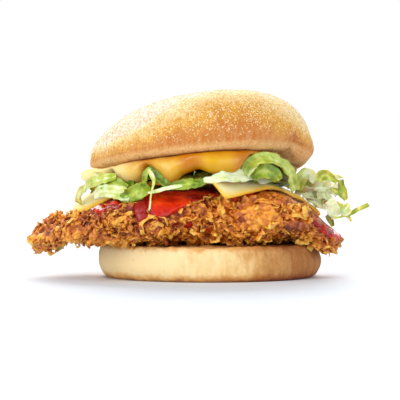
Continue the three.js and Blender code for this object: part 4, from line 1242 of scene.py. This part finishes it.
# single leaves: spine, widths, facing, then ruffle, cup, thickness and greenness
leaves = {
    "outerLoop": ([(-43.4, -38, 48.2), (-47.2, -35, 47.4), (-50.5, -32, 46.6), (-53.9, -28, 45.4),
        (-57.2, -22, 43.4), (-60, -16, 41), (-61.6, -12, 38.4), (-62, -10, 35)],
        [3, 4.4, 5, 5, 4.8, 4.6, 4.4, 4], (-0.4, -0.9, 0.3), 0.5, 0.14, 0.8, 0.36),
    "leftSweepTop": ([(-53, -27, 43), (-49.6, -32, 44.6), (-45.7, -36, 45.2), (-42, -39, 44.6),
        (-38.2, -42, 43)], [3, 5, 5.6, 5, 3], (-0.2, -0.9, 0.4), 0.6, 0.12, 0.7, 0.5),
    "leftFill": ([(-49.4, -24, 43), (-44.6, -30, 43.2), (-39.8, -36, 43), (-35, -40, 43.2)], [4, 6, 7, 6],
        (-0.2, -1, 0.3), 0.9, 0.1, 0.6, 0.85),
    "leftBulge": ([(-53.6, -28, 38.8), (-50.5, -33, 41), (-47.1, -38, 41.5), (-43.2, -42, 41),
        (-39.5, -45, 40.1), (-36.2, -48, 39.3)], [3, 5.6, 6.6, 6.8, 6.4, 4.4],
        (-0.1, -1, 0.3), 0.7, 0.18, 1.0, 0.16),
    "leftTurn": ([(-41, -45, 38.6), (-37.4, -48, 39.5), (-33.9, -50, 41), (-30.7, -50, 42.6),
        (-28.5, -47, 44.6)], [3, 6.2, 7.2, 6.8, 4], (0.1, -1, 0.15), 0.9, 0.2, 0.8, 0.62),
    "strandFork": ([(-27.6, -47, 52.3), (-29.4, -47.5, 50), (-30.1, -47, 47), (-30.4, -46.4, 44.4)],
        [1.6, 2.6, 2.6, 1.6], (-0.2, -1, 0.1), 0.3, 0.1, 0.6, 0.6),
    "darkBehind": ([(-27.7, -42, 53.1), (-25.3, -44, 50.9), (-22.1, -46, 48.2), (-18.4, -47, 45)],
        [5, 7.4, 7.4, 5], (0.2, -1, 0.2), 0.9, 0.1, 0.6, 0.8),
    "hangingStrand": ([(-28.7, -46, 52.3), (-27.5, -49, 50.5), (-26.1, -51.5, 47.8), (-25.8, -53, 45.6),
        (-26.4, -54, 42.9), (-27.1, -54.6, 39.3), (-27.4, -54.8, 35.7), (-27.9, -54.8, 32)],
        [1, 1.8, 2.1, 1.5, 0.9, 0.7, 0.8, 1.2], (0.15, -1, 0.1), 0.3, 0.1, 0.6, 0.26),
    "ribStrip": ([(-28.4, -52, 41), (-25, -52.4, 41.8), (-21, -52.5, 42.8), (-16.6, -52, 43.8),
        (-12.9, -51, 44.4)], [1, 1.8, 2, 2, 1.4], (0, -1, 0.5), 0.4, 0.1, 0.7, 0.14),
    "bumpyGreen": ([(-18, -50.5, 43.4), (-13.8, -50.8, 44.4), (-10.2, -50.6, 45), (-6.1, -50, 45.4),
        (-2, -48.5, 46.4)], [2.6, 4.4, 4.8, 4.8, 3], (0, -1, 0.4), 1.1, 0.15, 0.8, 0.62),
    "flatRagged": ([(-3, -51, 46.2), (1.4, -51.4, 47.4), (7, -49, 48.8), (12.1, -44, 49),
        (17.3, -37.5, 48.2), (22.9, -30, 47.4), (28.7, -21.5, 46.8), (34.4, -12.5, 45.4)],
        [2, 4, 6, 6.6, 5.8, 4.8, 4.2, 2], (0.2, -0.9, 0.6), 1.4, 0.1, 0.5, 0),
    "archLeft": ([(15.1, -37, 46.9), (16.5, -38, 51.1), (18.7, -38, 54.7), (22.4, -36, 56.7)],
        [4, 6.4, 7, 5], (-0.3, -1, 0.2), 0.5, 0.16, 0.8, 0.16),
    "archTop": ([(14.8, -38, 48.7), (17.8, -39, 53.7), (21.9, -38, 56.1), (27, -36, 56.4),
        (32.2, -31, 54.6), (36.2, -24, 50.4), (38.4, -19, 45.6), (39.8, -16, 41.2)],
        [3, 5, 6, 6.2, 6.6, 7, 6, 4], (0.2, -0.9, 0.5), 0.8, 0.2, 0.8, 0.42),
    # archShade is a dark green sheet inside the arch, painted shade
    "archShade": ([(20.7, -31, 54.2), (25.3, -31, 54.2), (30, -29, 52.4), (33.4, -27, 48.1)], [4, 5, 5, 4],
        (0, -1, 0), 0.4, 0.1, 0.6, 1.0),
    "innerGreen": ([(18.8, -36, 47.4), (22, -36, 50), (25.7, -35, 50.6), (29.4, -33, 49.4),
        (31.8, -30, 46.2)], [5, 6.6, 7.4, 6.6, 4], (0, -1, 0.25), 0.9, 0.12, 0.6, 0.6),
    "rightBulb": ([(42, -4, 41), (42.6, -3, 45), (44.7, 0, 48), (47.7, 3, 47.8), (49.8, 5, 44.8)],
        [3, 5, 6.4, 6, 4], (0.2, -1, 0.3), 0.6, 0.2, 0.7, 0.36),
    "rightBulbIn": ([(42.7, 2, 40), (43.7, 2, 43.8), (46.1, 4, 45.4), (47.9, 6, 43.4)], [5, 7, 7, 5],
        (0.1, -1, 0.1), 0.6, 0.1, 0.6, 0.62),
    "crumpleTop": ([(42.9, 4, 42.7), (46.8, 8, 43.6), (51.3, 12, 43.5), (55.6, 14, 42)], [6, 8.4, 8.4, 5],
        (0.3, -1, 0.5), 1.7, 0.1, 0.7, 0.06),
    "crumpleMid": ([(43.9, 4, 39.4), (47.8, 9, 39.8), (52.3, 13, 39.7), (56.6, 15, 38.2)], [5, 8, 8, 5],
        (0.3, -1, 0.3), 1.8, 0.1, 0.7, 0.0),
    "crumpleLow": ([(46.8, 9, 37), (51.4, 13, 36), (55.7, 16, 34.4), (59.4, 16, 31.6)], [5, 8.4, 8.4, 5],
        (0.3, -1, 0.4), 1.5, 0.1, 0.7, 0.08),
    "darkCurl": ([(51.3, -9, 45.2), (52.3, -9, 47.4), (54.7, -8, 48.1), (57.1, -7, 46.8), (60, -6, 44.7)],
        [3, 5, 5, 3.4, 1.8], (0.1, -1, 0.2), 0.6, 0.25, 0.7, 0.74),
    "flap": ([(61.9, -2, 46), (62.3, -2, 42.4), (62.9, -1, 39.6), (64.4, 0, 36.2)], [2.8, 3.8, 4.8, 2],
        (0.2, -1, 0.1), 0.4, 0.1, 0.6, 0.66),
    "flapBranch": ([(62.6, -2, 39.6), (59.7, -2.5, 40.5), (57.3, -3, 41.7)], [4, 3, 1.4], (0, -1, 0.3), 0.3,
        0.1, 0.6, 0.7),
    "lowCrumple": ([(55.7, -7, 36.4), (57.2, -6, 33.6), (58.6, -5, 30.7), (60.1, -4, 28.3)],
        [5, 6.6, 6, 3.4], (0.2, -1, 0.2), 1.6, 0.1, 0.6, 0.1),
    "lowShine": ([(58.7, -4, 34.9), (61.1, -3, 32.5), (64, -2, 31), (66.4, -1, 32)], [3, 5, 5, 2.6],
        (0.2, -1, 0.3), 1.2, 0.1, 0.6, 0.24),
    "lowLight": ([(61.6, -3, 29.7), (64, -2.5, 32), (65.9, -2, 34.4)], [2.6, 4, 2], (0.1, -1, 0.2), 0.7,
        0.1, 0.6, 0.32),
    "rightTip": ([(57.4, -6, 27.4), (60.6, -3.6, 28), (64.6, -1, 28.6), (67.1, 1.4, 29.7), (71, 3.6, 31.8),
        (75.7, 5, 33.8)], [0.8, 0.9, 1.2, 2, 2.3, 2.3], (0, -1, 0.6), 0.15, 0.15, 0.8, 0.5),
    "rightHang": ([(65.3, 0, 28.6), (66.3, 0, 27.4), (67.2, 0, 26)], [1.8, 1.6, 1], (0, -1, 0.2), 0.2, 0.1,
        0.6, 0.4),
    "darkUnder": ([(55.5, -2, 29.1), (57, -1, 26.7), (58.4, 0, 23.8)], [2.4, 3, 1.6], (0, -1, 0.2), 0.3,
        0.1, 0.6, 0.9),
    "underArm": ([(-63, 5, 22), (-67.4, 5, 19), (-70.6, 4.4, 15.4), (-73.4, 3.4, 11.6)], [4, 5, 4.2, 2],
        (-0.2, -1, 0.2), 0.4, 0.1, 0.8, 0.28),
}


def leafShapes():
    # the spines and widths are curves through their points, and a strip is carried along each
    rows = 44
    spines, widths, facings, ruffles, cups, thicknesses, greens = zip(*leaves.values())
    paths = np.array([curveThrough(spine, rows) for spine in spines])
    breadths = np.array([curveThrough(np.asarray(width, float)[:, None], rows)[:, 0] for width in widths])
    facing = np.array(facings)[:, None]
    shapes, side, veins = strips(paths, breadths, facing, ruffles, cups, thicknesses, columns=26, seed=301)
    return shapes, side, veins, perShape(np.array(greens), side)


lettuceLook = {
    # paler in one stretch: its middle along X, spread and strength
    "paling": (52, 6, 0.26),
    "colours": {0.0: (234, 238, 196), 0.2: (206, 216, 112), 0.46: (160, 184, 44), 0.74: (100, 138, 16),
                1.0: (46, 80, 8)},
}


def lettuceMaterial():
    finish = Finish("lettuceLeaf", Roughness=0.32, Subsurface_Weight=0.45, Subsurface_Scale=0.003,
                    Coat_Weight=0.15, Coat_Roughness=0.15)
    green = finish.maths("ADD", finish.value("green"), finish.times(finish.value("pale"), -0.3))
    tone = finish.weighed(green, (finish.mottle(6, detail=2), 0.4), (finish.mottle(2, detail=4), 0.14))
    finish.set("Base Color", finish.ramp(tone, lettuceLook["colours"]))
    finish.bump(finish.mottle(1.3), 0.25, 0.5)
    return finish.material


lettuceLeaf = lettuceMaterial()


def lettuce(name, shapes, side, veins, green, replaces=()):
    # ribs and the net of veins are paler than the blade, and so is the heap in the middle of its right end
    pale = 0.6 * veins ** 3 + 0.5 * bell(side, 0.16)
    middle, width, strength = lettuceLook["paling"]
    green = green - strength * bell(shapes[..., 0] - middle, width)
    skin(name, shapes, lettuceLeaf, "lettuce", replaces, green=green, pale=np.clip(pale, 0, 1))


lettuce("lettuceLeaves", *leafShapes(), ["lettuce"])

# loose shreds: how many, the middle and half sizes of the space they fill, then the least and the most of
# their length, width and greenness; and the grid of one shred
shreds = {
    "front": (13, (-10, -37, 45.6), (22, 5, 3), (9, 16), (2.5, 5), (0.3, 1)),
    "left": (12, (-46, -16, 41), (9, 10, 4), (7, 14), (2, 4.5), (0.1, 0.9)),
    "right": (26, (51, 18, 40), (9, 7, 5), (7, 13), (4, 7.5), (-0.2, 0.35)),
    "rightLow": (9, (58, 0, 34), (4, 3, 3), (4, 7), (2.4, 4.4), (0.0, 0.5)),
    "back": (80, (0, 30, 43.5), (50, 12, 4), (8, 20), (2.5, 6), (0.05, 0.9)),
    "sides": (34, (0, 6, 43), (58, 20, 4), (8, 18), (2.5, 5.5), (0.05, 0.9)),
}
shredRows, shredColumns, shredSeed = 12, 8, 22


def shredShapes(rng):
    # short arcs that fill a flattened ball, kept to its outside, with their ends drooping outwards; those
    # over the slice are raised on to it
    counts, *columns = zip(*shreds.values())
    columns = (np.repeat(np.array(column), counts, axis=0) for column in columns)
    middle, half, lengths, breadths, greens = columns
    count = sum(counts)
    direction = unit(rng.normal(size=(count, 3)))
    places = middle + half * direction * rng.uniform(0.6, 1.0, (count, 1))
    heading = rng.uniform(0, 2 * np.pi, count)
    length = rng.uniform(*lengths.T)
    along = np.linspace(-0.5, 0.5, shredRows)[None]
    step = along * length[:, None]
    ahead = np.stack([np.cos(heading), np.sin(heading), rng.uniform(-0.5, 0.5, count)], -1)
    sideways = np.stack([-np.sin(heading), np.cos(heading), 0 * heading], -1)
    bend = rng.uniform(-0.06, 0.06, count)[:, None] * step ** 2
    paths = places[:, None] + ahead[:, None] * step[..., None] + sideways[:, None] * bend[..., None]
    paths[..., 2] += rng.uniform(-0.05, 0.08, count)[:, None] * (length[:, None] ** 2 / 4 - step ** 2) * 0.6
    paths[..., 2] -= 5 * np.maximum(np.hypot(paths[..., 0] / 62, paths[..., 1] / 44) - 0.95, 0)
    placeAlong, placeAcross = inSlice(paths[..., 0], paths[..., 1])
    above = (np.abs(placeAlong) < sliceHalf) & (placeAcross > -55) & (placeAcross < sliceHalf)
    sunk = np.where(above, drapeHeight(paths[..., 0], paths[..., 1]) + 3.7 - paths[..., 2], 0)
    paths[..., 2] += np.clip(sunk.max(1, keepdims=True), 0, 9)
    widths = rng.uniform(*breadths.T)[:, None] * np.cos(np.clip(along, -0.46, 0.46) * np.pi) ** 0.5
    facing = unit(rng.normal(size=(count, 3)) + np.array([0, 0, 0.6]))[:, None]
    ruffle = rng.uniform(0.5, 1.2, count)
    shapes, side, veins = strips(paths, widths, facing, ruffle, cup=0.12, thickness=0.6,
                                 columns=shredColumns, seed=321, waveSize=4)
    return shapes, side, veins, perShape(rng.uniform(*greens.T), side)


lettuce("lettuceShreds", *shredShapes(np.random.default_rng(shredSeed)))

lettuceCore = {"middle": (-2, -1), "half": (43, 34), "top": 47, "aboveSlice": 2.6, "green": 0.9}


def corePoints():
    # a low mound inside the heap, so that no gap shows through it: its reach follows the root of the cosine
    rise, angle = np.meshgrid(np.linspace(-1.45, 1.45, 40), fullTurn(180), indexing="ij")
    reach = np.cos(rise) ** 0.5
    x = lettuceCore["middle"][0] + lettuceCore["half"][0] * reach * np.cos(angle)
    y = lettuceCore["middle"][1] + lettuceCore["half"][1] * reach * np.sin(angle)
    bottom = drapeHeight(x, y) + lettuceCore["aboveSlice"]
    top = np.maximum(lettuceCore["top"] - 0.1 * y + 0.08 * x, bottom + 1)
    points = np.stack([x, y, (top + bottom) / 2 + (top - bottom) / 2 * np.sin(rise)], -1)
    points[..., 2] += clouds(points, (1.0, 6, 131), (0.5, 2.5, 132)) * reach
    return points, 1 + 0 * rise, ridgedNoise(points, 4, 133), lettuceCore["green"] + 0 * rise


lettuce("lettuceCore", *corePoints())
